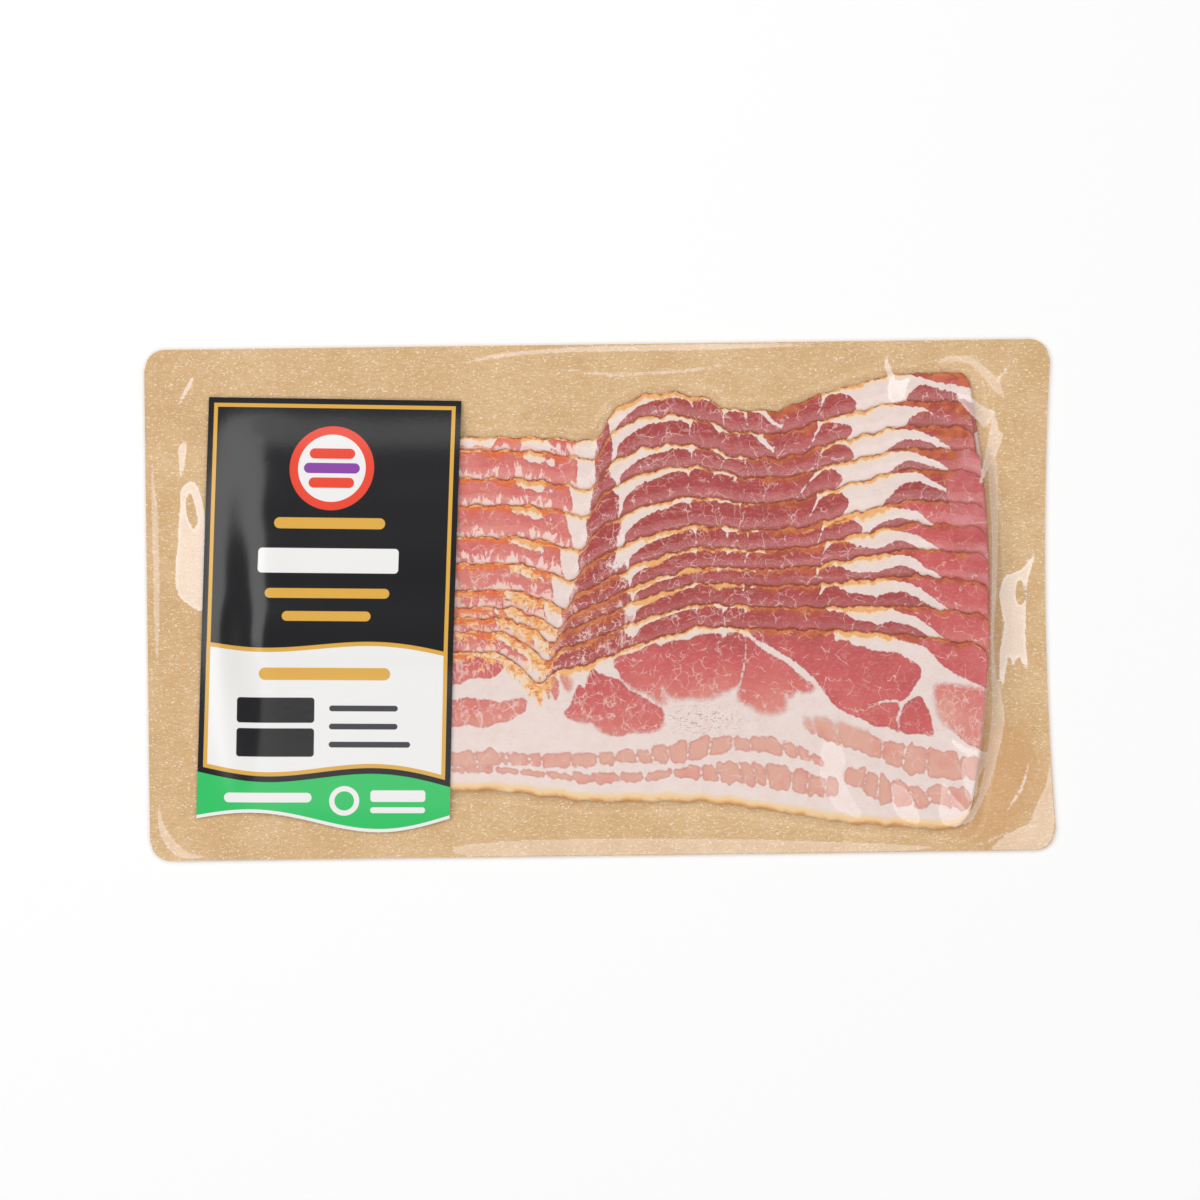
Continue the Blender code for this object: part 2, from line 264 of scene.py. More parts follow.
# Tissue of the front slice: closed outlines in the board's plane.
# name: (outline, tone at its top, tone at its foot, marbling)
# Tone runs from 0, purple, over 0.5, red, to 1, pale salmon.
FRONT_MUSCLES = {
    "eye": (
        ((-2.8, -21.1), (-0.1, -22.6), (2.7, -23.6), (5.5, -24.6), (7.3, -26.5), (8.8, -28), (11.9, -29.3),
         (15, -31.5), (18.1, -33.4), (19, -35.9), (18.6, -38.7), (16.7, -40.5), (13.6, -41.1), (9, -41),
         (5.9, -41.9), (2.2, -41.6), (-0.9, -40), (-3, -37.8), (-5.8, -37.7), (-9.5, -36.5),
         (-11.4, -34.6), (-9.5, -32.4), (-8.5, -29.4), (-6.9, -26), (-5.1, -26.9), (-4.4, -24.8)),
        0.4, 0.75, 1.05,
    ),
    "crown": (
        ((4, -18.7), (5.3, -17.5), (9.9, -16.3), (14, -14.5), (17.1, -13.6), (18.3, -14.8), (19.5, -13.6),
         (22.3, -12.7), (27, -12.5), (29.5, -11.3), (32.6, -10.7), (36.3, -10.7), (37.5, -12.3),
         (38.8, -10.8), (40.9, -10.5), (43.4, -11.1), (44.3, -14.5), (43.9, -19.2), (43.2, -22.9),
         (42.6, -26), (40.1, -27.8), (37, -29.3), (34.5, -30.5), (30.8, -30.8), (27.7, -30.4),
         (24.6, -30.7), (21.5, -30.3), (19.7, -28.2), (18.5, -26.3), (18.7, -28.1), (19.9, -30.6),
         (19.3, -32.2), (16.8, -31.2), (13.8, -29), (9.8, -27.4), (7.6, -25.5), (6.1, -23.7), (5.5, -21.8),
         (4.3, -20.8)),
        0.3, 0.85, 0.8,
    ),
    "keel": (
        ((44.6, -11.8), (47.1, -13.6), (49.5, -15.8), (52.6, -17.7), (57.2, -20.3), (60.3, -23.1),
         (63.3, -25.6), (65.5, -27.8), (63, -29.3), (60.2, -28.7), (58, -30.8), (56.5, -29.2),
         (56.7, -32.6), (56.1, -34.8), (52.4, -35.7), (48.4, -35), (46.2, -33.1), (44.1, -32.5),
         (42.2, -31.2), (41.9, -28.7), (42.9, -26.3), (43.9, -22.9), (44.5, -19.2), (44.9, -14.5)),
        0.4, 0.85, 0.7,
    ),
    "flank": (
        ((45.9, -7), (68.8, -7), (71.2, -11.5), (71.8, -13.6), (73.7, -13.1), (76.2, -13.7), (77.4, -15),
         (80.5, -15.3), (82, -16.2), (86.6, -16.9), (91.3, -17.3), (94.3, -19.5), (96.8, -20.8),
         (98, -22.6), (97.7, -24.8), (96.4, -27.3), (95.2, -29.1), (93.9, -30.9), (92.3, -32.2),
         (90.5, -31.8), (86.5, -31.8), (84, -32.7), (80.2, -33.6), (84, -33.3), (86.8, -32.7),
         (90.2, -32.4), (91.4, -33.7), (91, -35.9), (90.7, -38.3), (91.3, -41.7), (87.9, -40.1),
         (83.9, -39.8), (80.8, -37.9), (75.6, -35.7), (71.6, -33.1), (69.5, -30.3), (67.3, -27.5),
         (64.9, -24.4), (61.8, -21.6), (58.8, -19.1), (54.2, -16.2), (50.2, -13.7), (47.1, -11.8)),
        0.34, 0.62, 0.3,
    ),
    "tip": (
        ((92.9, -33.4), (94.5, -32.2), (96.4, -31), (98.2, -31), (99.4, -33.2), (101.2, -36.9),
         (102.1, -40.9), (101.8, -43.1), (98.7, -42.4), (95.6, -42.4), (92.2, -41.7), (91.6, -38.3),
         (92, -35.9)),
        0.35, 0.6, 0.4,
    ),
    "end": (
        ((102.3, -27.6), (106.6, -27.1), (111.3, -27.8), (115.9, -28.4), (118.7, -29.4), (123, -32.5),
         (123, -46.4), (114.1, -46.4), (108, -41.6), (104.9, -39.1), (102.8, -34.1)),
        0.75, 0.95, 1.1,
    ),
    "cap": (
        ((86.5, -10), (90.5, -12.8), (95, -14.2), (99, -15.6), (101.8, -18), (104.5, -21), (108.2, -23.7),
         (112.8, -25.9), (117.4, -28.1), (123, -30.1), (123, -8), (111.4, -8), (100, -8)),
        0.35, 0.62, 0.3,
    ),
    "left": (
        ((-108, -16), (-49.5, -16.5), (-41.8, -16.2), (-38.7, -16.9), (-34, -17.6), (-31, -18.2),
         (-29.7, -19.8), (-31, -22), (-34.1, -23.5), (-37.8, -23.4), (-40.3, -23.7), (-42.8, -24.6),
         (-49.6, -25.4), (-108, -25)),
        0.5, 0.75, 1.5,
    ),
    "left lower": (
        ((-108, -30), (-49.7, -30.4), (-43.5, -29.8), (-40.4, -29.6), (-37.3, -30.2), (-34.2, -30.3),
         (-31.1, -31.2), (-28.6, -30.3), (-24.9, -29.8), (-23.1, -30.7), (-23.4, -33.8), (-26.5, -35.6),
         (-28.7, -37.1), (-31.8, -37.4), (-34.3, -38.3), (-37.4, -38.9), (-40.5, -37.9), (-43.6, -38.2),
         (-49.8, -38.4), (-108, -39)),
        0.75, 0.9, 1.5,
    ),
    "strand": (((-12.4, -22.5), (-10, -23.5), (-9.1, -25.9), (-10, -27.8), (-11.6, -26.2)), 0.8, 0.9, 1.0),
    "strand 2": (
        ((-15.2, -23.7), (-13.4, -24), (-13.1, -27.7), (-13.8, -30.8), (-15, -28.3)),
        0.8, 0.9, 1.0,
    ),
    "strand 3": (((-17.1, -25.2), (-15.9, -25.5), (-15.9, -30.2), (-16.8, -28.3)), 0.8, 0.9, 1.0),
    "slip": (
        ((-6.2, -19.5), (-4.9, -17), (-3.4, -14.9), (-1.8, -15.8), (-3.1, -18), (-4.4, -20.7)),
        0.1, 0.2, 0.2,
    ),
}

# Streaks of the belly: (x, y, half thickness) along the middle of each, and the ends of its beads
STREAKS = (
    (
        ((-108, -48.2, 2.0), (-47, -48.8, 2.3), (-34, -48.2, 2.4), (-25, -48.9, 1.7), (-14, -49.2, 2.2),
         (-4, -49.2, 2.0), (5, -48.4, 1.8), (13, -48.1, 2.1), (25, -47.2, 3.2), (33, -45.4, 2.9),
         (41, -44.6, 2.0), (52, -45.3, 2.3), (61, -47.6, 2.0), (66, -50, 1.6), (70, -52, 1.2)),
        (-108, -97, -88, -82, -71, -63, -57, -46.8, -38.8, -31.3, -29.2, -22.4, -18.6, -9.4, -1.3, 4, 10.7,
         15.4, 20.6, 26.5, 33.3, 40.4, 45.7, 55.6, 60.1, 64.3, 68.6),
    ),
    (
        ((-108, -51.8, 1.0), (-46, -51.8, 0.7), (-33, -52, 1.0), (-22, -53, 1.0), (-13, -54, 1.0),
         (-5, -55, 1.7), (5, -54.8, 1.5), (14, -54.8, 1.3), (22, -53.4, 1.2), (30, -53.6, 2.2),
         (40, -53.6, 3.2), (51, -54.7, 3.4), (60, -56.4, 3.5), (67, -58.4, 3.2), (73, -58.6, 2.2)),
        (-108, -94, -84, -76, -67, -58, -46.9, -32.9, -25.5, -17.5, -9.4, -3.2, 5.4, 13.2, 21.8, 30.5,
         35.4, 42.9, 47, 50.6, 58.3, 63.3, 68.8, 73.2),
    ),
    (
        ((61.5, -38.3, 1.2), (66, -39.8, 2.8), (73, -42, 3.3), (80, -44.4, 3.2), (87, -47.6, 3.0),
         (94, -49.9, 4.2), (106, -52.1, 4.0), (116, -53.5, 3.0), (122, -54.5, 2.6)),
        (61.8, 65.2, 72.5, 86.3, 93, 99.9, 111, 118.4),
    ),
    (
        ((73.6, -54.6, 2.0), (79, -55.8, 3.0), (84, -58.6, 4.2), (90, -60.6, 3.8), (99, -62.4, 2.8),
         (103, -61.2, 2.8), (111, -62.6, 3.2), (117, -64, 1.5)),
        (74.4, 80.9, 85, 89.2, 95.1, 100.4, 107.2, 113.7),
    ),
)
STREAK_TONE = 1.0
BEAD_ROUNDING = 1.5
BEAD_GAP = 0.1  # half of the gap between two beads
BEAD_MARBLING = 0.1

# Tissue of the slices behind, of which only the upper edge shows: along the slice, and
# down from its edge
REAR_MUSCLES = {
    "flank lean": (
        ((-19.6, -2), (-15.8, -2), (-15.2, 4), (-14.4, 9), (-13.5, 18), (-19.6, 18)),
        0.0, 0.2, 0.8,
    ),
    "shoulder": (
        ((-11.8, 5.4), (-8, 4.4), (-3.1, 3.6), (3, 2.9), (9.4, 2.4), (16, 1.9), (21.7, 1.7), (24.9, 2.2),
         (26.2, 3.4), (26.7, 6), (26.7, 18), (-12.5, 18), (-12.6, 8)),
        0.05, 0.25, 0.5,
    ),
    "second": (
        ((26.8, 2.4), (27.8, 1), (31, 0.6), (35.5, 0.7), (37.4, 1.6), (37.8, 4), (37.6, 18), (27.3, 18),
         (27.1, 5)),
        0.1, 0.25, 0.6,
    ),
    "third": (
        ((38.4, 1.8), (40.5, 0.9), (42.8, 1), (44.2, 2), (44.5, 18), (38.2, 18), (38.1, 4.5)),
        0.1, 0.3, 0.6,
    ),
    "fourth": (
        ((44.9, 1.4), (46.5, 0.6), (49.7, 1.4), (53, 4), (56, 6.4), (60, 9.5), (60, 18), (44.9, 18)),
        0.1, 0.3, 0.5,
    ),
    "saddle": (
        ((48.2, -1), (52, -1.5), (57.4, -1), (56.6, 3), (55.3, 6.2), (52.8, 4.2), (50, 1.6)),
        0.05, 0.2, 0.6,
    ),
    "rear saddle": (
        ((51.5, -1), (54, -1.5), (57.2, -1), (56.8, 2.4), (55.8, 4.2), (53.8, 2.6)),
        0.1, 0.3, 0.6,
    ),
    "fifth": (
        ((57.5, 0.2), (60, -2), (66.8, -2), (68.2, 1.5), (66.4, 6), (64, 12), (54, 12), (56, 5)),
        0.2, 0.3, 0.3,
    ),
    "sixth": (
        ((68.9, 2.4), (70.5, 1.3), (73, 1.2), (76, 2.4), (78.4, 4), (79.6, 6.2), (77, 9), (72, 12),
         (64.4, 12), (67, 6)),
        0.1, 0.3, 0.2,
    ),
    "bridge": (
        ((67, 5), (70, 3.4), (76, 3.2), (80, 4.4), (86, 6), (92, 7), (92, 18), (66, 18)),
        0.05, 0.2, 0.2,
    ),
    "far": (
        ((94.6, 9.5), (96.2, 6), (100.5, 3.8), (105.4, 4.8), (110, 6.4), (113, 8.4), (123, 12), (123, 18),
         (94, 18)),
        0.0, 0.3, 0.3,
    ),
    "far middle": (
        ((88, 9), (90, 6.2), (94.5, 4.2), (99, 4.4), (104, 6), (109, 8), (119, 12), (119, 18), (88, 18)),
        0.0, 0.2, 0.3,
    ),
    "far front": (
        ((82.5, 9), (84.5, 6.2), (88.5, 5), (93, 5.4), (98, 7.4), (103, 10.4), (112, 15), (112, 18),
         (82, 18)),
        0.0, 0.2, 0.3,
    ),
    "rear cap": (
        ((97, -2), (98, 0.5), (104, 2.4), (110, 3.8), (114.5, 4.6), (123, 5.2), (123, -2)),
        0.5, 0.6, 0.0,
    ),
    "middle cap": (
        ((90, -2), (92, 0.3), (97, 1.2), (101, 2.4), (105, 4.4), (109, 7.4), (113, 11), (123, 16),
         (123, -2)),
        0.15, 0.5, 0.3,
    ),
    "front cap": (
        ((86.5, -2), (89, 0.5), (93, 2), (98, 3.9), (102, 6.3), (106, 9), (112, 13), (123, 16), (123, -2)),
        0.4, 0.7, 0.3,
    ),
    "left": (
        ((-108, 0.5), (-60, 0.5), (-30, 0.4), (-27, 0.6), (-26.2, 3), (-26, 18), (-40, 18), (-60, 18),
         (-108, 18)),
        0.66, 0.84, 0.5,
    ),
}
# The first slice and the last that have a muscle, where not all the rear ones do
HELD_BY = {
    "saddle": (2, 9), "rear saddle": (0, 1), "bridge": (6, 9),
    "far": (0, 1), "far middle": (2, 4), "far front": (5, 9),
    "rear cap": (0, 0), "middle cap": (1, 4), "front cap": (5, 9),
}
REAR_SWELL = 0.25  # the rear muscles are this much larger all round than drawn
FRONT_SWELL = 0.18
OUTSIDE = -99.0  # the distance kept where no muscle is near
UNCOVERED = 99.0  # height over the next slice's edge where no slice follows
FLAPS = {1: 119, 2: 115, 3: 111, 4: 108, 5: 107, 6: 109, 7: 112}  # where a pink end begins, by slice
NOTCH = 3  # its place in UPPER_EDGE
NOTCH_MARKS = 5  # so many landmarks from the left end move along with it
NOTCH_BEND = 1.6  # and they do so slowly at first
PATTERN_WINDOW = (-85.0, -40.0, 5.0, 32.0)  # the stretch that follows the notch, faded at both ends
BAND_START = (4.0, 12.0)  # where the shoulder's fat band begins, on the rearmost slice and the front one
BAND_MARK = -14.2  # its place in REAR_MUSCLES
LENS = (-18.5, 2.1, 4.6, 1.3)  # white lens by the rim of the left strips: middle and half sizes
LENS_TILT = 0.16
FRINGE = 2.8  # depth of the white fringe at the left of the rearmost slice
FRINGE_END = (-33, -29)
FLAP_TONE = 0.4
FRONT_WOBBLE = 0.15  # how far the borders of the muscles stray from their outlines
REAR_WOBBLE = 0.7
SKEW_REACH = (20, 32, 76, 92)  # where the muscles behind lean over, each slice's in its own way

# How deep smoke has reddened the lean along the upper edge
SMOKE_DEPTH = ((-108, 1.8), (-45, 1.9), (-31, 1.6), (-26, 0.8), (-19, 1.6), (-10, 0.5), (24, 0.6), (45, 1.0),
               (58, 2.2), (76, 1.5), (84, 1.0), (94, 2.6), (104, 3.6), (120, 3.6))

# How deep the amber rind reaches at places along the rearmost slices and the front ones
RIND_AT = (-108, -45, -30, -24, -18, -13, 0, 20, 40, 58, 72, 76, 88, 92, 104, 120)
RIND_REAR = (1.0, 1.0, 0.6, 1.7, 1.3, 0.4, 0.8, 0.8, 0.5, 0.3, 0.7, 0.9, 0.9, 0.3, 0.3, 0.3)
RIND_FRONT = (1.4, 1.6, 2.4, 3.8, 4.2, 2.4, 1.1, 0.9, 0.8, 1.0, 1.2, 1.8, 1.7, 0.5, 0.4, 0.4)
RIND_LIMITS = (0.2, 4.6)
# Slices with more rind: (slice, extra depth, and where that begins, is full, fades and ends)
RIND_EXTRA = ((0, 0.9, 2, 8, 28, 36), (5, 1.1, 54, 60, 88, 96))
PATCHED = range(5, 9)  # slices with patches of deep rind over the shoulder


def waves(x, seed, longest, count=6):
    """A seeded ripple along one line, about -1 to 1."""
    draw = random.Random(seed)
    total = 0.0
    weight = 0.0
    for _ in range(count):
        length = longest * draw.uniform(0.22, 1.0)
        total = total + np.sin(2 * math.pi * (x / length + draw.random())) * length
        weight += length
    return total / weight * 1.8


def waves_over(x, y, seed, longest, count=8):
    """A seeded ripple over the plane, about -1 to 1."""
    draw = random.Random(seed)
    total = 0.0
    weight = 0.0
    for _ in range(count):
        length = longest * draw.uniform(0.3, 1.0)
        turn = draw.uniform(0, math.pi)
        along = x * math.cos(turn) + y * math.sin(turn)
        total = total + np.sin(2 * math.pi * (along / length + draw.random())) * length
        weight += length
    return total / weight * 2.0


def smooth_step(value, low, high):
    """0 below low and 1 above high, eased between them."""
    share = np.clip((value - low) / (high - low), 0, 1)
    return share * share * (3 - 2 * share)


def stretch(x, begins, full, fades, ends):
    """1 along a stretch, eased at both its ends."""
    return smooth_step(x, begins, full) * (1 - smooth_step(x, fades, ends))


def bump(x, middle, reach):
    """A smooth rise round one place, 1 at its middle."""
    return np.exp(-(((x - middle) / reach) ** 2))


# The lie of the slices


def landmarks(index):
    """The points of the upper edge of slice index, as x values and y values."""
    shares = [sum(steps[:index]) / sum(steps) for steps in STEPS]
    xs, ys = [], []
    for mark, (rear, front) in enumerate(UPPER_EDGE):
        share = float(np.interp(rear[0], STEPS_AT, shares))
        across = share**NOTCH_BEND if mark < NOTCH_MARKS else share
        xs.append(rear[0] + (front[0] - rear[0]) * across)
        ys.append(rear[1] + (front[1] - rear[1]) * share)
    return xs, ys


EDGES = [landmarks(index) for index in range(SLICE_COUNT)]


def rounded(x, points):
    """A line through points with its bends eased."""
    return sum(np.interp(x + shift, *points) for shift in (-1.5, -0.75, 0, 0.75, 1.5)) / 5


def upper_edge(x, index):
    ripple = sum(height * waves(x, seed + index, longest) for height, seed, longest in EDGE_RIPPLES)
    return rounded(x, EDGES[index]) + ripple


def lower_edge(x, index):
    step = np.interp(x, (LEFT_END, RIGHT_END), LOWER_STEPS)
    return rounded(x, list(zip(*LOWER_EDGE))) + (SLICE_COUNT - 1 - index) * step


def layers_begun(x, y):
    """How many lower edges lie behind this place, smoothed where the first one starts."""
    step = np.interp(x, (LEFT_END, RIGHT_END), LOWER_STEPS)
    count = (SLICE_COUNT - 1) - (y - lower_edge(x, SLICE_COUNT - 1)) / step
    return 0.5 * (count + np.hypot(count, HINGE_SOFTNESS)) - 0.5 * HINGE_SOFTNESS


def slice_underside(x, y, index):
    return BOARD_THICKNESS + GAP + LAYER * (index - layers_begun(x, y))


def slice_ends(index):
    draw = random.Random(SEEDS["ends"] + index)
    return LEFT_END + draw.uniform(-1, 1) * END_STAGGER, RIGHT_END + draw.uniform(-1, 1) * END_STAGGER


def corner_inset(distance, radius):
    """How far a side is drawn in by a round corner, this far from the end."""
    return radius - np.sqrt(np.maximum(0, radius**2 - np.maximum(0, radius - distance) ** 2))


# Meshes


def sheet_mesh(columns, rows):
    """A grid of columns by rows cells, with the share of each vertex across and up."""
    bm = bmesh.new()
    bmesh.ops.create_grid(bm, x_segments=columns, y_segments=rows, size=1)
    places = np.array([vert.co[:2] for vert in bm.verts]) * 0.5 + 0.5
    return bm, places[:, 0], places[:, 1]


def place(bm, x, y, z):
    for vert, *spot in zip(bm.verts, x * MM, y * MM, z * MM):
        vert.co = spot


def keep_values(bm, name, values):
    """Stores one number on each vertex, which becomes a mesh attribute."""
    layer = bm.verts.layers.float.new(name)
    for vert, value in zip(bm.verts, values):
        vert[layer] = value


def thicken(bm, thickness):
    """Turns an open sheet into a closed one. thickness is one height, or one per vertex."""
    heights = np.broadcast_to(thickness, len(bm.verts))
    layer = bm.verts.layers.float.new("rise")
    for vert, height in zip(bm.verts, heights):
        vert[layer] = height * MM
    raised = bmesh.ops.extrude_face_region(bm, geom=bm.faces[:])["geom"]
    for item in raised:
        if isinstance(item, bmesh.types.BMVert):
            item.co.z += item[layer]
    bm.verts.layers.float.remove(layer)
    bmesh.ops.recalc_face_normals(bm, faces=bm.faces)


def add_piece(name, bm, material, stands_for):
    mesh = bpy.data.meshes.new(name)
    bm.to_mesh(mesh)
    bm.free()
    mesh.shade_smooth()
    mesh.set_sharp_from_angle(angle=math.radians(SHARP_ANGLE))
    mesh.materials.append(material)
    piece = bpy.data.objects.new(name, mesh)
    bpy.context.scene.collection.objects.link(piece)
    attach(piece, "root")
    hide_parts(stands_for)
    return piece


def eased_outline(points, steps=4):
    """A closed smooth curve through points."""
    points = np.array(points, float)
    before, after, beyond = (np.roll(points, shift, axis=0) for shift in (1, -1, -2))
    curve = []
    for step in range(steps):
        t = step / steps
        pull = 0.5 * (after - before)
        push = 0.5 * (beyond - points)
        a = 2 * t**3 - 3 * t**2 + 1
        b = t**3 - 2 * t**2 + t
        c = -2 * t**3 + 3 * t**2
        d = t**3 - t**2
        curve.append(a * points + b * pull + c * after + d * push)
    return np.stack(curve, axis=1).reshape(-1, 2)


def signed_distance(x, y, outline):
    """Distance of each place to a closed outline, positive inside it."""
    x0, y0 = outline.T
    x1, y1 = np.roll(outline, -1, axis=0).T
    run, rise = x1 - x0, y1 - y0
    px, py = x[:, None], y[:, None]
    share = np.clip(((px - x0) * run + (py - y0) * rise) / (run**2 + rise**2 + 1e-9), 0, 1)
    nearest = np.hypot(px - x0 - share * run, py - y0 - share * rise).min(axis=1)
    level = np.where(np.abs(rise) < 1e-9, 1e-9, rise)
    crossed = ((y0 > py) != (y1 > py)) & (px < x0 + (py - y0) * run / level)
    return np.where(crossed.sum(axis=1) % 2 == 1, nearest, -nearest)


# Tissue


def muscles_at(across, down, muscles):
    """Distance into the nearest muscle, its tone and its marbling, at each place."""
    lean = np.full(across.shape, OUTSIDE)
    tone = np.zeros(across.shape)
    marbling = np.zeros(across.shape)
    for outline, top_tone, foot_tone, veins in muscles.values():
        outline = eased_outline(outline)
        inside = signed_distance(across, down, outline)
        nearer = inside > lean
        start, end = outline[:, 1].max(), outline[:, 1].min()
        if outline[:, 1].min() > -5:  # measured downwards from an edge
            start, end = end, start
        share = np.clip((down - start) / (end - start), 0, 1)
        tone = np.where(nearer, top_tone + (foot_tone - top_tone) * share, tone)
        marbling = np.where(nearer, veins, marbling)
        lean = np.maximum(lean, inside)
    return lean, tone, marbling


def beads_at(x, y):
    """Distance into the nearest bead of the belly's streaks."""
    best = np.full(x.shape, OUTSIDE)
    for number, (line, ends) in enumerate(STREAKS):
        xs, ys, halves = zip(*line)
        middle = np.interp(x, xs, ys) + 0.2 * waves(x, SEEDS["bead line"] + number, 12.0)
        half = np.interp(x, xs, halves) * (1.12 + 0.16 * waves(x, SEEDS["bead width"] + number, 9.0))
        slant = x + (y - middle) * (0.12 + 0.3 * np.sin(x / 7.0 + 2 * number))
        after = np.clip(np.searchsorted(ends, slant), 1, len(ends) - 1)
        start, end = np.array(ends)[after - 1], np.array(ends)[after]
        from_side = half - np.abs(y - middle)
        from_end = np.minimum(slant - start, end - slant) - BEAD_GAP
        corner = np.hypot(np.maximum(BEAD_ROUNDING - from_side, 0), np.maximum(BEAD_ROUNDING - from_end, 0))
        inside = BEAD_ROUNDING - corner + 0.3 * waves_over(x, y, SEEDS["bead form"] + number, 3.0)
        beyond = (x < xs[0]) | (x > xs[-1])
        best = np.maximum(best, np.where(beyond, -9.0, inside))
    return best


def pattern_shift(x, index):
    """How much further right than on the front slice the pattern round the notch lies."""
    shift = EDGES[index][0][NOTCH] - EDGES[-1][0][NOTCH]
    return shift * stretch(x, *PATTERN_WINDOW)


def pattern_behind(x, index):
    """Where in REAR_MUSCLES a place belongs: its notch and its fat band are stretched apart."""
    share = index / (SLICE_COUNT - 1)
    notch = EDGES[index][0][NOTCH]
    band = BAND_START[0] + (BAND_START[1] - BAND_START[0]) * share
    low, start, _, high = PATTERN_WINDOW
    home = EDGES[-1][0][NOTCH]
    marks = (low, start, notch, band, high, BOARD_LENGTH)
    return np.interp(x, marks, (low, start + home - notch, home, BAND_MARK, high, BOARD_LENGTH))


def rind_depth(x, index):
    """How far down the yellow-brown rind reaches from the upper edge."""
    share = index / (SLICE_COUNT - 1)
    depth = (1 - share) * np.interp(x, RIND_AT, RIND_REAR) + share * np.interp(x, RIND_AT, RIND_FRONT)
    depth = depth + 0.35 * waves(x, SEEDS["rind"] + index, 17.0)
    depth = depth + 0.3 * waves(x, SEEDS["fine rind"] + index, 4.0)
    if index > 5:
        depth = depth + 0.5 * (1 - smooth_step(x, -16, -8))
    if index in PATCHED:
        depth = depth + bump(x, 22, 18) * (0.6 + 1.2 * waves(x, SEEDS["rind patches"] + index, 24.0))
    for number, extra, *reach in RIND_EXTRA:
        if index == number:
            depth = depth + extra * stretch(x, *reach)
    return np.clip(depth, *RIND_LIMITS)


def smoke_depth(x, along, strands, index):
    """How far down smoke has reddened the lean."""
    share = index / (SLICE_COUNT - 1)
    depth = np.interp(along, *zip(*SMOKE_DEPTH)) * (1 + 0.5 * waves(x, SEEDS["smoke"] + index, 20.0))
    depth = depth * (1 - 0.6 * smooth_step(share, 0.4, 0.5) * smooth_step(x, 92, 100))
    depth = depth + 2.6 * strands * bump(x, 0, 8)
    if index == 0:
        depth = depth + FRINGE * (1 - smooth_step(x, *FRINGE_END))
    return depth


def scallops(along, down, index):
    """How far the borders of the lean are drawn in, in small bows and nicks."""
    bows = np.abs(waves(along, SEEDS["bows"] + index, 8.0, count=3))
    return 0.22 * bows + 0.12 * waves_over(along, down, SEEDS["nicks"] + index, 2.2)


def with_beads(x, y, lean, tone, marbling, scallop):
    """The tissue of the front slice with the beads of its belly laid over it."""
    beads = beads_at(x, y)
    bead = beads > lean
    tone = np.where(bead, STREAK_TONE, tone)
    marbling = np.where(bead, BEAD_MARBLING, marbling)
    return np.maximum(lean, beads), tone, marbling, np.where(bead, 0.4, 0.8) * scallop


def muscles_behind(x, down, sway, index):
    """The same as muscles_at for a slice behind, along its edge and down from it."""
    held = {name: HELD_BY.get(name, (0, SLICE_COUNT)) for name in REAR_MUSCLES}
    shown = {name: REAR_MUSCLES[name] for name, (first, last) in held.items() if first <= index <= last}
    draw = random.Random(SEEDS["skew"] + index)
    skew = stretch(x, *SKEW_REACH) * (draw.uniform(-1.8, 1.8) + draw.uniform(-0.3, 0.6) * down)
    thin = 1 + 0.9 * smooth_step(index / (SLICE_COUNT - 1), 0.45, 0.65) * (1 - smooth_step(x, 25, 40))
    return muscles_at(pattern_behind(x, index) + sway + skew, down * thin, shown)


def past_lens(x, y, depth, index):
    """Distance to the white lens by the rim of the left strips, negative inside it."""
    middle_x, middle_y, half_x, half_y = LENS
    off = x - middle_x + index
    below = depth - middle_y - LENS_TILT * off
    ragged = 0.3 * waves(x, SEEDS["lens"] + index, 7.0)
    ragged = ragged + 0.12 * waves_over(x, y, SEEDS["fine lens"] + index, 2.5)
    return (np.hypot(off / half_x, below / half_y) + ragged - 1) * half_y


def front_likeness(along, share):
    """How far the tissue has turned into the front slice's."""
    return smooth_step(share, 0.82, 1.1) * smooth_step(along, -30, 10)


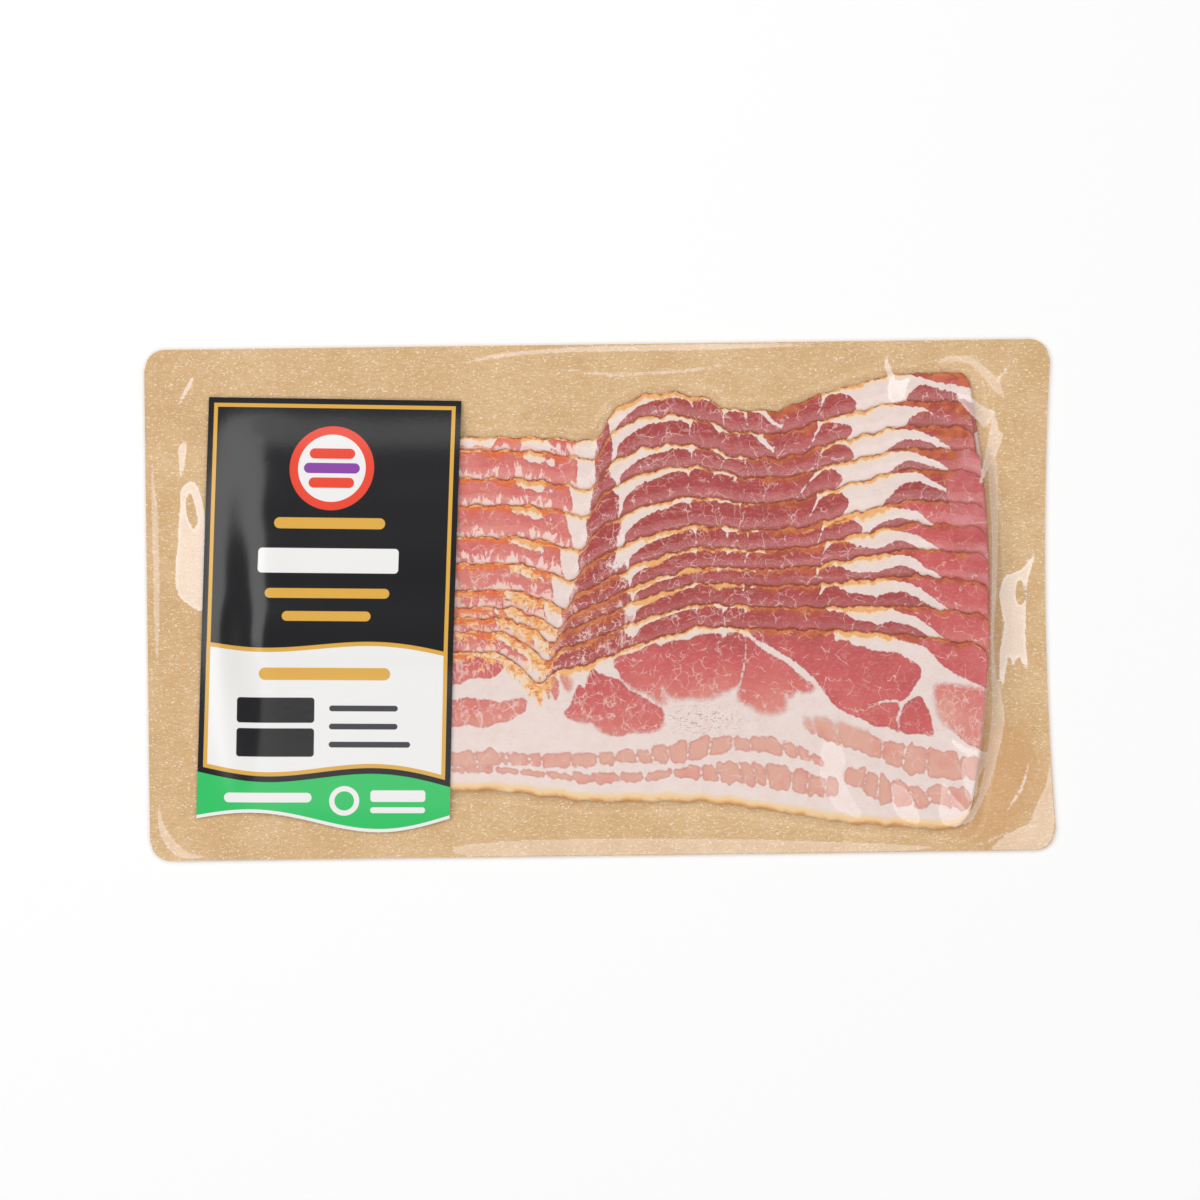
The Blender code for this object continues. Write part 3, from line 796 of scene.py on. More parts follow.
def tissue(x, y, index):
    """What shows at each place of a slice, by the name of its attribute."""
    share = index / (SLICE_COUNT - 1)
    front = index == SLICE_COUNT - 1
    strands = 0.0 if front else smooth_step(share, 0.4, 0.6)
    depth = rounded(x, EDGES[index]) - y
    wobble = FRONT_WOBBLE if front else REAR_WOBBLE
    sway = wobble * waves_over(x, y, SEEDS["sway"] + index, 16.0)
    along = x - pattern_shift(x, index) + sway
    down = depth + 0.45 * wobble * waves_over(x, y, SEEDS["sink"] + index, 12.0)
    scallop = scallops(along, down, index)
    front_y = y if front else rounded(along, EDGES[-1]) - down
    lean, tone, marbling = muscles_at(along, front_y, FRONT_MUSCLES)
    if front:
        lean, tone, marbling, scallop = with_beads(x, y, lean + FRONT_SWELL, tone, marbling, scallop)
    else:
        rear = muscles_behind(x, down, sway, index)
        blend = front_likeness(along, share)
        lean, tone, marbling = (a + (b - a) * blend for a, b in zip(rear, (lean, tone, marbling)))
        lean = np.minimum(lean + REAR_SWELL, past_lens(x, y, depth, index))
    if index == 0:
        fringe = FRINGE + 0.6 * waves(x, SEEDS["fringe"], 7.0) - 2 * FRINGE * smooth_step(x, *FRINGE_END)
        lean = np.minimum(lean, depth - fringe)
    flap = x - FLAPS.get(index, BOARD_LENGTH) + 1.2 * waves_over(x, y, SEEDS["flap"], 13.0)
    tone = np.where(flap > 0, FLAP_TONE, tone)
    fade = 1 - smooth_step(flap, -0.5, 3.0)
    next_edge = upper_edge(x, min(index + 1, SLICE_COUNT - 1))
    pale_foot = smooth_step(tone, 0.55, 0.85) * smooth_step(y, -43, -40) * smooth_step(x, -14, -9)
    return {
        "lean": np.maximum(lean - scallop, flap),
        "tone": tone,
        "marbling": (marbling + 0.8 * strands * (x < 14)) * fade,
        "rind": rind_depth(x, index) * fade,
        "smoke": smoke_depth(x, along, strands, index) * fade,
        "flecks": bump(x, 31, 12) * bump(y, -37, 4.5) * front,
        "side": smooth_step(along, -21.0, -18.0),
        "layered": float(smooth_step(share, 0.35, 0.55)) * (1 - smooth_step(x, -16, -6)),
        "above": np.full(x.shape, UNCOVERED) if front else np.maximum(y - next_edge, 0),
        "veil": smooth_step(flap, -1.0, 2.0),
        "melt": front * np.maximum(0.1, pale_foot),
    }


def make_slice(index, material):
    start, end = slice_ends(index)
    columns = round((end - start) / SLICE_COLUMN)
    front = index == SLICE_COUNT - 1
    rows = FRONT_ROWS if front else SHOWN_ROWS + HIDDEN_ROWS
    bm, across, up = sheet_mesh(columns, rows)
    x = start + (end - start) * across
    inset = corner_inset(np.minimum(x - start, end - x), SLICE_CORNER)
    top = upper_edge(x, index) - inset
    height, longest = FOOT_RIPPLE
    foot = lower_edge(x, index) + height * waves(x, SEEDS["foot"] + index, longest) + inset
    if front:
        y = foot + (top - foot) * up
    else:
        row = (1 - up) * rows
        open_part = np.minimum(1, row / SHOWN_ROWS) ** SHOWN_PACKING * SHOWN_DEPTH
        below = np.clip((row - SHOWN_ROWS) / HIDDEN_ROWS, 0, 1)
        y = top - open_part - below * (top - SHOWN_DEPTH - foot)
    x = x - np.maximum(0, x / end) ** 3 * END_CURVE * y**2
    z = slice_underside(x, y, index)
    place(bm, x, y, z)
    shown = tissue(x, y, index)
    for name, values in shown.items():
        keep_values(bm, name, values)
    keep_values(bm, "rim", top - y)
    keep_values(bm, "foot", y - foot)
    keep_values(bm, "layer", np.full(x.shape, index / (SLICE_COUNT - 1)))
    border = np.minimum(np.minimum(top - y, y - foot), np.minimum(across, 1 - across) * (end - start))
    edge = np.clip(1 - border / EDGE_ROUNDING, 0, 1)
    relief = CROSS_RELIEF * waves_over(x, y, SEEDS["relief"] + index, 6.0)
    relief = relief + np.where(shown["lean"] > 0, 0.0, FAT_RELIEF)
    thicken(bm, SLICE_THICKNESS * (1 - EDGE_THINNING * edge**2) + relief * (1 - edge))
    node = f"slice_{index + 1:02}"
    return add_piece(f"rasher_{index + 1:02}", bm, material, node)


# The film's height over the board


def field_axes():
    """Grid lines over the board and SKIN_MARGIN past it."""
    reaches = (BOARD_LENGTH / 2 + SKIN_MARGIN, BOARD_WIDTH / 2 + SKIN_MARGIN)
    return [np.arange(-reach, reach + FIELD_STEP / 2, FIELD_STEP) for reach in reaches]


def stack_height(x, y):
    """Top of the highest slice at each place, or of the board."""
    height = np.full(x.shape, BOARD_THICKNESS)
    for index in range(SLICE_COUNT):
        start, end = slice_ends(index)
        end = end - np.maximum(0, x / end) ** 3 * END_CURVE * y**2
        covered = (x > start) & (x < end) & (y < upper_edge(x, index)) & (y > lower_edge(x, index))
        top = slice_underside(x, y, index) + SLICE_THICKNESS
        height = np.where(covered, np.maximum(height, top), height)
    return height


def spread(height):
    """Each place raised to its highest neighbour."""
    best = height.copy()
    for dx in (-1, 0, 1):
        for dy in (-1, 0, 1):
            best = np.maximum(best, np.roll(height, (dx, dy), axis=(0, 1)))
    return best


def levelled(field):
    """Each place brought halfway to its neighbours along both axes."""
    for axis in (0, 1):
        field = 0.5 * field + 0.25 * (np.roll(field, 1, axis) + np.roll(field, -1, axis))
    return field


def drape(rounds):
    """A skin's underside on a regular grid: drawn tight over the slices."""
    xs, ys = field_axes()
    x, y = np.meshgrid(xs, ys, indexing="ij")
    base = spread(stack_height(x, y)) + FILM_CLEARANCE
    film = base.copy()
    for _ in range(rounds):
        film = np.maximum(base, levelled(film))
    return film


def label_skin(film, tight):
    """The label's underside: a smooth skin, lifted only where it would sink into the film."""
    skin = tight
    for _ in range(LABEL_EASE):
        skin = levelled(skin)
    lack = np.maximum(film - skin, 0)
    for _ in range(LIFT_REACH):
        lack = spread(lack)
    for _ in range(LABEL_EASE):
        lack = levelled(lack)
    return skin + lack + FILM_THICKNESS + LABEL_LIFT


def read_field(field, x, y):
    """The field's value at any place, between its grid points."""
    xs, ys = field_axes()
    column = np.clip((x - xs[0]) / FIELD_STEP, 0, len(xs) - 1.001)
    row = np.clip((y - ys[0]) / FIELD_STEP, 0, len(ys) - 1.001)
    i, j = column.astype(int), row.astype(int)
    s, t = column - i, row - j
    near = field[i, j] * (1 - t) + field[i, j + 1] * t
    far = field[i + 1, j] * (1 - t) + field[i + 1, j + 1] * t
    return near * (1 - s) + far * s


def board_outline(across, up, inset):
    """Places across the board, its corners rounded and its right-hand end drawn in."""
    end = BOARD_LENGTH / 2 - inset
    side = BOARD_WIDTH / 2 - inset
    x = -end + 2 * end * across
    y = (2 * up - 1) * (side - corner_inset(end - np.abs(x), BOARD_CORNER))
    share = np.maximum(0, (x - end + 2 * BOARD_CORNER) / (2 * BOARD_CORNER))
    drawn = np.maximum(0, 1 - (y / (BOARD_WIDTH / 2 - BOARD_CORNER)) ** 2)
    return x - BOARD_WAIST * share * drawn, y


def make_board(material):
    bm, across, up = sheet_mesh(*BOARD_CELLS)
    x, y = board_outline(across, up, 0.0)
    place(bm, x, y, np.zeros(x.shape))
    thicken(bm, BOARD_THICKNESS)
    return add_piece("kraft_board", bm, material, "board")


def make_film(field, material):
    bm, across, up = sheet_mesh(*FILM_CELLS)
    x, y = board_outline(across, up, FILM_INSET)
    place(bm, x, y, read_field(field, x, y))
    haze, milk = np.full(x.shape, HAZE_REACH), np.zeros(x.shape)
    for outline, strength in HAZE:
        inside = signed_distance(x, y, eased_outline(outline))
        if strength:
            milk = np.where(inside > haze, strength, milk)
            haze = np.maximum(haze, inside)
        else:
            haze = np.minimum(haze, -inside)
    keep_values(bm, "haze", haze)
    keep_values(bm, "milk", milk)
    thicken(bm, FILM_THICKNESS)
    film = add_piece("clear_film", bm, material, "film")
    film.visible_shadow = False
    return film


def make_label(field, material):
    bm, across, up = sheet_mesh(*LABEL_CELLS)
    top_left, top_right, foot_right, foot_left = LABEL_CORNERS
    wave = LABEL_SAG * np.sin(math.pi * across) + LABEL_WAVE * np.sin(2 * math.pi * across)
    left, right, low, high = 1 - across, across, 1 - up, up
    x = left * (low * foot_left[0] + high * top_left[0]) + right * (low * foot_right[0] + high * top_right[0])
    y = left * (low * foot_left[1] + high * top_left[1]) + right * (low * foot_right[1] + high * top_right[1])
    y = y + wave * low
    place(bm, x, y, read_field(field, x, y))
    uv = bm.loops.layers.uv.new("print")
    spots = {}
    for vert, a, u, w in zip(bm.verts, across, up, wave * low):
        spots[vert] = (a * LABEL_WIDTH / PRINT_FIELD, (u * LABEL_HEIGHT + w + PRINT_MARGIN) / PRINT_FIELD)
    for face in bm.faces:
        for loop in face.loops:
            loop[uv].uv = spots[loop.vert]
    thicken(bm, LABEL_THICKNESS)
    return add_piece("paper_label", bm, material, "label")


# Shader nodes


def colour(red, green, blue):
    """A colour given as it looks on screen, 0 to 255, as the shader's own numbers."""
    linear = []
    for value in (red, green, blue):
        part = value / 255
        linear.append(part / 12.92 if part <= 0.04045 else ((part + 0.055) / 1.055) ** 2.4)
    return (*linear, 1.0)


class Shading:
    """The nodes of one material or node group."""

    def __init__(self, tree):
        self.tree = tree

    def node(self, kind, settings=None, **inputs):
        node = self.tree.nodes.new(kind)
        for name, value in (settings or {}).items():
            setattr(node, name, value)
        for name, value in inputs.items():
            self.feed(node.inputs[name.replace("_", " ")], value)
        return node

    def feed(self, socket, value):
        if isinstance(value, bpy.types.NodeSocket):
            self.tree.links.new(value, socket)
        elif value is not None:
            socket.default_value = value

    def math(self, operation, a, b=None, c=None, clamp=False):
        node = self.node("ShaderNodeMath", {"operation": operation, "use_clamp": clamp})
        for socket, value in zip(node.inputs, (a, b, c)):
            self.feed(socket, value)
        return node.outputs[0]

    def times(self, a, b, clamp=False):
        return self.math("MULTIPLY", a, b, clamp=clamp)

    def plus(self, a, b, clamp=False):
        return self.math("ADD", a, b, clamp=clamp)

    def minus(self, a, b, clamp=False):
        return self.math("SUBTRACT", a, b, clamp=clamp)

    def scaled(self, value, factor, rise, clamp=False):
        """The value times a factor, and raised."""
        return self.math("MULTIPLY_ADD", value, factor, rise, clamp)

    def step(self, value, low, high):
        """0 below low and 1 above high, eased between them; high may be the lower one."""
        settings = {"interpolation_type": "SMOOTHSTEP"}
        node = self.node("ShaderNodeMapRange", settings, Value=value, From_Min=low, From_Max=high)
        return node.outputs[0]

    def mix(self, share, a, b):
        node = self.node("ShaderNodeMix", {"data_type": "RGBA"})
        for socket, value in zip((node.inputs[0], node.inputs[6], node.inputs[7]), (share, a, b)):
            self.feed(socket, value)
        return node.outputs[2]

    def over(self, below, mask, strength, tint):
        """A tint laid over a colour where the mask shows."""
        return self.mix(self.times(mask, strength), below, tint)

    def blend(self, share, a, b):
        node = self.node("ShaderNodeMix", {"data_type": "FLOAT"})
        for socket, value in zip((node.inputs[0], node.inputs[2], node.inputs[3]), (share, a, b)):
            self.feed(socket, value)
        return node.outputs[0]

    def noise(self, vector, scale, detail=3.0, roughness=0.55, distortion=0.0):
        inputs = {"Scale": scale, "Detail": detail, "Roughness": roughness, "Distortion": distortion}
        return self.node("ShaderNodeTexNoise", None, Vector=vector, **inputs).outputs["Fac"]

    def ragged(self, vector, scale, detail, swing, roughness=0.55):
        """Noise brought to about half a swing either side of 0."""
        return self.scaled(self.noise(vector, scale, detail, roughness), swing, -swing / 2)

    def patches(self, vector, scale, detail, low, high, roughness=0.55, distortion=0.0):
        """Where the noise is above low, fully above high."""
        return self.step(self.noise(vector, scale, detail, roughness, distortion), low, high)

    def place(self, scale=(1000, 1000, 1000), turn=0.0):
        """Object coordinates in millimetres, or stretched and turned about Z."""
        source = self.node("ShaderNodeTexCoord").outputs["Object"]
        mapping = self.node("ShaderNodeMapping", None, Vector=source, Scale=scale, Rotation=(0, 0, turn))
        return mapping.outputs[0]

    def value_of(self, name):
        return self.node("ShaderNodeAttribute", {"attribute_name": name}).outputs["Fac"]

    def ramp(self, value, stops):
        node = self.node("ShaderNodeValToRGB", None, Fac=value)
        ramp = node.color_ramp
        while len(ramp.elements) < len(stops):
            ramp.elements.new(0.5)
        for element, (where, tint) in zip(ramp.elements, stops):
            element.position = where
            element.color = tint
        return node.outputs[0]


def new_material(name):
    material = bpy.data.materials.new(name)
    material.use_nodes = True
    shading = Shading(material.node_tree)
    surface = material.node_tree.nodes["Principled BSDF"]
    return material, shading, surface


def new_group(name, inputs, outputs):
    """An empty node group with number sockets; an output named Colour or Tint holds a colour."""
    tree = bpy.data.node_groups.new(name, "ShaderNodeTree")
    for label, value in inputs.items():
        kind = "NodeSocketVector" if label == "Vector" else "NodeSocketFloat"
        socket = tree.interface.new_socket(label, in_out="INPUT", socket_type=kind)
        if value is not None:
            socket.default_value = value
    for label in outputs:
        kind = "NodeSocketColor" if label in ("Colour", "Tint") else "NodeSocketFloat"
        tree.interface.new_socket(label, in_out="OUTPUT", socket_type=kind)
    shading = Shading(tree)
    return tree, shading, tree.nodes.new("NodeGroupInput"), tree.nodes.new("NodeGroupOutput")


def fibres_group():
    """Fine strands along X, and specks, as paper board and muscle show them."""
    inputs = {"Vector": None, "Scale": 1.0, "Stretch": 0.2}
    tree, shading, given, made = new_group("fibres", inputs, ["Strands", "Specks"])
    split = shading.node("ShaderNodeSeparateXYZ", None, Vector=given.outputs["Vector"])
    along = shading.times(split.outputs[0], given.outputs["Stretch"])
    bend = shading.noise(given.outputs["Vector"], 0.12, 2.0)
    across = shading.scaled(bend, 3.0, split.outputs[1])
    joined = shading.node("ShaderNodeCombineXYZ", None, X=along, Y=across, Z=split.outputs[2]).outputs[0]
    strands = shading.noise(joined, given.outputs["Scale"], 4.0, 0.65)
    short = shading.times(split.outputs[0], 0.45)
    near = shading.node("ShaderNodeCombineXYZ", None, X=short, Y=across, Z=split.outputs[2]).outputs[0]
    specks = shading.noise(near, shading.times(given.outputs["Scale"], 1.4), 2.0, 0.6)
    shading.feed(made.inputs["Strands"], strands)
    shading.feed(made.inputs["Specks"], specks)
    return tree


def veins_group():
    """Thin broken white veins through lean."""
    inputs = {"Vector": None, "Scale": 0.2, "Width": 0.06, "Cover": 0.5}
    tree, shading, given, made = new_group("veins", inputs, ["Veins"])
    bend = shading.node("ShaderNodeTexNoise", None, Vector=given.outputs["Vector"], Scale=0.3, Detail=3.0)
    push = shading.node("ShaderNodeVectorMath", {"operation": "SCALE"}, Scale=4.0)
    shading.feed(push.inputs[0], bend.outputs["Color"])
    moved = shading.node("ShaderNodeVectorMath", {"operation": "ADD"})
    shading.feed(moved.inputs[0], given.outputs["Vector"])
    shading.feed(moved.inputs[1], push.outputs[0])
    cells = shading.node("ShaderNodeTexVoronoi", {"feature": "DISTANCE_TO_EDGE"}, Vector=moved.outputs[0])
    shading.feed(cells.inputs["Scale"], given.outputs["Scale"])
    line = shading.step(cells.outputs["Distance"], given.outputs["Width"], 0.0)
    patches = shading.plus(shading.noise(given.outputs["Vector"], 0.3, 3.0), given.outputs["Cover"])
    shading.feed(made.inputs["Veins"], shading.times(line, shading.step(patches, 0.95, 1.08)))
    return tree


def use_group(shading, tree, **inputs):
    node = shading.tree.nodes.new("ShaderNodeGroup")
    node.node_tree = tree
    for name, value in inputs.items():
        shading.feed(node.inputs[name], value)
    return node.outputs


# Colours of the lean, from purple muscle to pale salmon
LEAN_TONES = (
    (0.0, colour(162, 64, 62)),
    (0.25, colour(176, 74, 74)),
    (0.5, colour(202, 92, 92)),
    (0.7, colour(212, 114, 106)),
    (0.88, colour(220, 142, 128)),
    (1.0, colour(222, 168, 150)),
)
SLICE_SHIFT = 370.0  # how far apart in the noise the first slice and the last are, in millimetres
LEAN_ROUGHNESS = 0.44
FAT_ROUGHNESS = 0.36


def meat_place(shading):
    """Millimetres over a slice, with another height for each slice, so that no two look alike."""
    shifted = shading.node("ShaderNodeVectorMath", {"operation": "ADD"})
    offset = shading.times(shading.value_of("layer"), SLICE_SHIFT)
    shading.feed(shifted.inputs[0], shading.place())
    shading.feed(shifted.inputs[1], shading.node("ShaderNodeCombineXYZ", None, Z=offset).outputs[0])
    return shifted.outputs[0]


def lean_look(shading, spot, grain, strokes, veins):
    """Muscle with pale strands along it, thin white veins and strokes of fat."""
    tone = shading.plus(shading.value_of("tone"), shading.ragged(spot, 0.1, 4.0, 0.5))
    look = shading.ramp(tone, LEAN_TONES)
    look = shading.over(look, shading.step(grain["Strands"], 0.45, 0.85), 0.45, colour(228, 158, 150))
    look = shading.over(look, shading.step(shading.value_of("lean"), 1.0, 0.1), 0.22, colour(160, 82, 86))
    fine = use_group(shading, veins, Vector=spot, Scale=0.3, Width=0.055, Cover=0.5)
    broad = use_group(shading, veins, Vector=spot, Scale=0.13, Width=0.022, Cover=0.52)
    marbling = shading.value_of("marbling")
    wisps = shading.scaled(marbling, fine["Veins"], broad["Veins"], clamp=True)
    look = shading.over(look, wisps, 0.8, colour(232, 196, 188))
    return shading.over(look, strokes, 0.85, colour(242, 212, 202))


def fat_strokes(shading, spot, upright):
    """Mask of steep strokes of fat: in the left strips near the next slice, and in marbled lean."""
    reach = shading.scaled(shading.noise(spot, 0.15, 2.0), 0.5, -0.06)
    reach = shading.plus(upright, reach)
    low = shading.step(shading.scaled(shading.value_of("above"), -0.055, reach), 0.6, 0.65)
    low = shading.times(low, shading.minus(1.0, shading.value_of("side")))
    marbled = shading.minus(shading.value_of("marbling"), 0.9, clamp=True)
    return shading.math("MAXIMUM", low, shading.times(marbled, shading.step(upright, 0.54, 0.6)))


def fat_look(shading, spot, grain):
    """Pale fat with pinker strands and flecks, creamy below the rind."""
    look = shading.mix(shading.noise(spot, 0.28, 4.0), colour(240, 226, 220), colour(228, 206, 198))
    look = shading.over(look, shading.step(grain["Strands"], 0.5, 0.75), 0.5, colour(222, 190, 182))
    flecks = shading.step(grain["Specks"], 0.56, 0.64)
    look = shading.over(look, flecks, shading.value_of("flecks"), colour(190, 132, 134))
    share = shading.math("DIVIDE", shading.value_of("rim"), shading.plus(shading.value_of("rind"), 0.9))
    return shading.over(look, shading.step(share, 1.3, 0.7), 0.8, colour(240, 214, 184))


def with_rind(shading, spot, body, upright):
    """Amber rind along the upper edge, in rust and cream tiers at the left of the front slices."""
    layered = shading.value_of("layered")
    depth = shading.math("MAXIMUM", shading.value_of("rind"), 0.05)
    share = shading.math("DIVIDE", shading.value_of("rim"), depth)
    share = shading.plus(share, shading.ragged(spot, 0.8, 3.0, 1.2))
    drips = shading.times(shading.minus(upright, 0.5), shading.times(layered, 7.0))
    share = shading.minus(share, drips)
    amber = shading.mix(shading.noise(spot, 0.7, 3.0), colour(244, 198, 128), colour(230, 142, 66))
    amber = shading.mix(shading.patches(spot, 0.45, 4.0, 0.55, 0.75, 0.7), amber, colour(204, 92, 44))
    tiers = shading.noise(shading.place((520, 900, 1000), -0.5), 1.0, 5.0, 0.65, 0.6)
    tier_colour = shading.mix(shading.step(tiers, 0.4, 0.5), colour(222, 110, 44), colour(244, 190, 118))
    tier_colour = shading.mix(shading.step(tiers, 0.54, 0.62), tier_colour, colour(244, 220, 198))
    amber = shading.over(amber, layered, 0.75, tier_colour)
    return shading.over(body, shading.step(share, 1.15, 0.75), 0.92, amber)


def with_smoke(shading, spot, body, lean):
    """Lean reddened below the upper edge, orange in the left strips and rust elsewhere."""
    depth = shading.math("MAXIMUM", shading.value_of("smoke"), 0.1)
    share = shading.math("DIVIDE", shading.value_of("rim"), depth)
    share = shading.plus(share, shading.ragged(shading.place((300, 1300, 1000)), 1.0, 4.0, 3.0, 0.65))
    reddened = shading.times(shading.step(share, 1.25, 0.6), lean)
    rust = shading.mix(shading.patches(spot, 0.3, 3.0, 0.35, 0.65), colour(170, 74, 48), colour(204, 110, 60))
    smoked = shading.mix(shading.value_of("side"), colour(224, 102, 46), rust)
    return shading.over(body, reddened, 0.8, smoked)


def with_upper_edge(shading, spot, body):
    """Painted glints and a dark hem at the edge; by the next slice a painted film sheen and a painted shadow;
    a painted glare on a folded end.
    """
    rim, above, veil = (shading.value_of(name) for name in ("rim", "above", "veil"))
    # Painted highlights: small white glints along the upper edge.
    painted_glints = shading.patches(spot, 1.3, 3.0, 0.66, 0.7, roughness=0.5, distortion=1.5)
    body = shading.over(body, shading.times(painted_glints, shading.step(rim, 2.2, 0.3)), 0.7, colour(250, 222, 208))
    bare = shading.scaled(veil, -0.8, 1.0)
    hem = shading.times(shading.step(rim, 0.55, 0.25), shading.patches(spot, 0.45, 4.0, 0.42, 0.56))
    body = shading.over(body, shading.times(hem, bare), 0.8, colour(150, 66, 40))
    # Painted sheen of the film: a paler band where it bridges the step to the next slice.
    body = shading.over(body, shading.step(above, 3.5, 0.8), 0.1, colour(232, 196, 190))
    # Painted shadow: a dark line just above the next slice's edge, weaker on a folded end.
    painted_contact_shadow = shading.times(shading.step(above, 0.5, 0.05), bare)
    body = shading.over(body, painted_contact_shadow, 0.25, colour(160, 70, 56))
    # Painted highlight: glare of the film over a folded end.
    glare = shading.times(veil, shading.patches(spot, 0.09, 3.0, 0.35, 0.7))
    return shading.over(body, glare, 0.4, colour(222, 166, 166))


def with_foot(shading, spot, body):
    """A creamy line along the lower edge, browned in places."""
    depth = shading.scaled(shading.noise(spot, 0.12, 2.0), 1.8, 2.0)
    share = shading.math("DIVIDE", shading.value_of("foot"), depth)
    body = shading.mix(shading.step(share, 1.2, 0.5), body, colour(240, 204, 150))
    browned = shading.patches(spot, 0.2, 3.0, 0.3, 0.6)
    return shading.over(body, shading.step(share, 0.6, 0.1), browned, colour(224, 154, 80))


def meat_material(fibres, veins):
    material, shading, surface = new_material("cured pork belly")
    spot = meat_place(shading)
    grain = use_group(shading, fibres, Vector=spot, Scale=1.6, Stretch=0.4)
    upright = shading.noise(shading.place((440, 150, 1000), 0.35), 1.0, 5.0, 0.6, 1.0)
    softness = shading.scaled(shading.value_of("melt"), 1.3, 0.13)
    into_lean = shading.plus(shading.value_of("lean"), shading.ragged(spot, 0.9, 4.0, 1.2, 0.6))
    lean = shading.step(into_lean, shading.times(softness, -1.0), softness)

    flesh = lean_look(shading, spot, grain, fat_strokes(shading, spot, upright), veins)
    body = shading.mix(lean, fat_look(shading, spot, grain), flesh)
    body = with_rind(shading, spot, body, upright)
    body = with_smoke(shading, spot, body, lean)
    body = with_upper_edge(shading, spot, body)
    body = with_foot(shading, spot, body)

    shading.feed(surface.inputs["Base Color"], body)
    shading.feed(surface.inputs["Roughness"], shading.blend(lean, FAT_ROUGHNESS, LEAN_ROUGHNESS))
    surface.inputs["Specular IOR Level"].default_value = 0.3
    bumps = shading.scaled(grain["Strands"], 0.5, shading.times(lean, -0.25))
    relief = shading.node("ShaderNodeBump", None, Strength=0.35, Distance=0.0004, Height=bumps)
    shading.feed(surface.inputs["Normal"], relief.outputs[0])
    return material


def board_material(fibres):
    material, shading, surface = new_material("kraft board")
    spot = shading.place()
    paper = use_group(shading, fibres, Vector=spot, Scale=1.9, Stretch=0.22)
    cloud = shading.noise(spot, 0.04, 5.0, 0.65)
    base = shading.mix(shading.step(cloud, 0.3, 0.7), colour(209, 170, 120), colour(222, 187, 142))
    base = shading.over(base, shading.step(paper["Strands"], 0.45, 0.75), 0.6, colour(190, 154, 110))
    base = shading.over(base, shading.step(paper["Strands"], 0.45, 0.2), 0.4, colour(236, 210, 172))
    base = shading.over(base, shading.step(paper["Specks"], 0.59, 0.66), 0.75, colour(250, 234, 206))
    to_stain = shading.node("ShaderNodeVectorMath", {"operation": "DISTANCE"})
    shading.feed(to_stain.inputs[0], spot)
    shading.feed(to_stain.inputs[1], STAIN)
    stain = shading.step(shading.scaled(cloud, 24.0, to_stain.outputs["Value"]), 38.0, 20.0)
    base = shading.over(base, stain, 0.5, colour(204, 148, 92))
    shading.feed(surface.inputs["Base Color"], base)
    surface.inputs["Roughness"].default_value = 0.8
    relief = shading.node("ShaderNodeBump", None, Strength=0.3, Distance=0.0002, Height=paper["Strands"])
    shading.feed(surface.inputs["Normal"], relief.outputs[0])
    return material


def film_material():
    material, shading, surface = new_material("clear film")
    surface.inputs["Base Color"].default_value = (0.97, 0.95, 0.93, 1)
    spot = shading.place()
    # Milky where the film has come away from the board, and painted reflections of the lights on its creases,
    # bends and edges; the haze places hold both.
    inside = shading.plus(shading.value_of("haze"), shading.ragged(spot, 1.1, 4.0, 1.6, 0.65))
    loose_and_sheen = shading.step(inside, -0.1, 0.25)
    streaks = shading.scaled(shading.noise(spot, 1.6, 3.0), 0.8, 0.6)
    border = shading.step(shading.value_of("haze"), 1.4, 0.2)
    milk = shading.times(shading.value_of("milk"), shading.scaled(border, 0.3, 0.8))
    haze = shading.times(shading.times(loose_and_sheen, milk), streaks, clamp=True)
    facing = shading.node("ShaderNodeLayerWeight", None, Blend=0.5).outputs["Facing"]
    gloss = shading.scaled(shading.math("POWER", facing, 4.0), 0.28, 0.014)
    shading.feed(surface.inputs["Alpha"], shading.plus(gloss, haze, clamp=True))
    shading.feed(surface.inputs["Metallic"], shading.minus(1.0, loose_and_sheen, clamp=True))
    shading.feed(surface.inputs["Roughness"], shading.blend(loose_and_sheen, 0.12, 0.4))
    return material


def shape_group():
    """Mask of a bar with round corners; a bar as high as wide, and as round, is a disc."""
    places = {"Across": 0.0, "Up": 0.0, "X": 0.0, "Y": 0.0}
    sizes = {"Half width": 1.0, "Half height": 1.0, "Radius": 0.5}
    tree, shading, given, made = new_group("round bar", {**places, **sizes}, ["Mask"])
    sides = []
    for place_name, centre, half in (("Across", "X", "Half width"), ("Up", "Y", "Half height")):
        offset = shading.minus(given.outputs[place_name], given.outputs[centre])
        side = shading.minus(shading.math("ABSOLUTE", offset), given.outputs[half])
        sides.append(shading.plus(side, given.outputs["Radius"]))
    outer = [shading.math("MAXIMUM", side, 0.0) for side in sides]
    squares = [shading.times(side, side) for side in outer]
    far = shading.math("SQRT", shading.plus(*squares))
    near = shading.math("MINIMUM", shading.math("MAXIMUM", *sides), 0.0)
    distance = shading.minus(shading.plus(far, near), given.outputs["Radius"])
    shading.feed(made.inputs["Mask"], shading.step(distance, PRINT_BLUR, -PRINT_BLUR))
    return tree


INK_BLACK = colour(24, 24, 27)
INK_WHITE = colour(240, 239, 237)
INK_GOLD = colour(224, 172, 74)
INK_GREEN = colour(52, 196, 104)
INK_RED = colour(236, 74, 52)
INK_PURPLE = colour(140, 70, 168)
INK_GREY = colour(60, 60, 66)

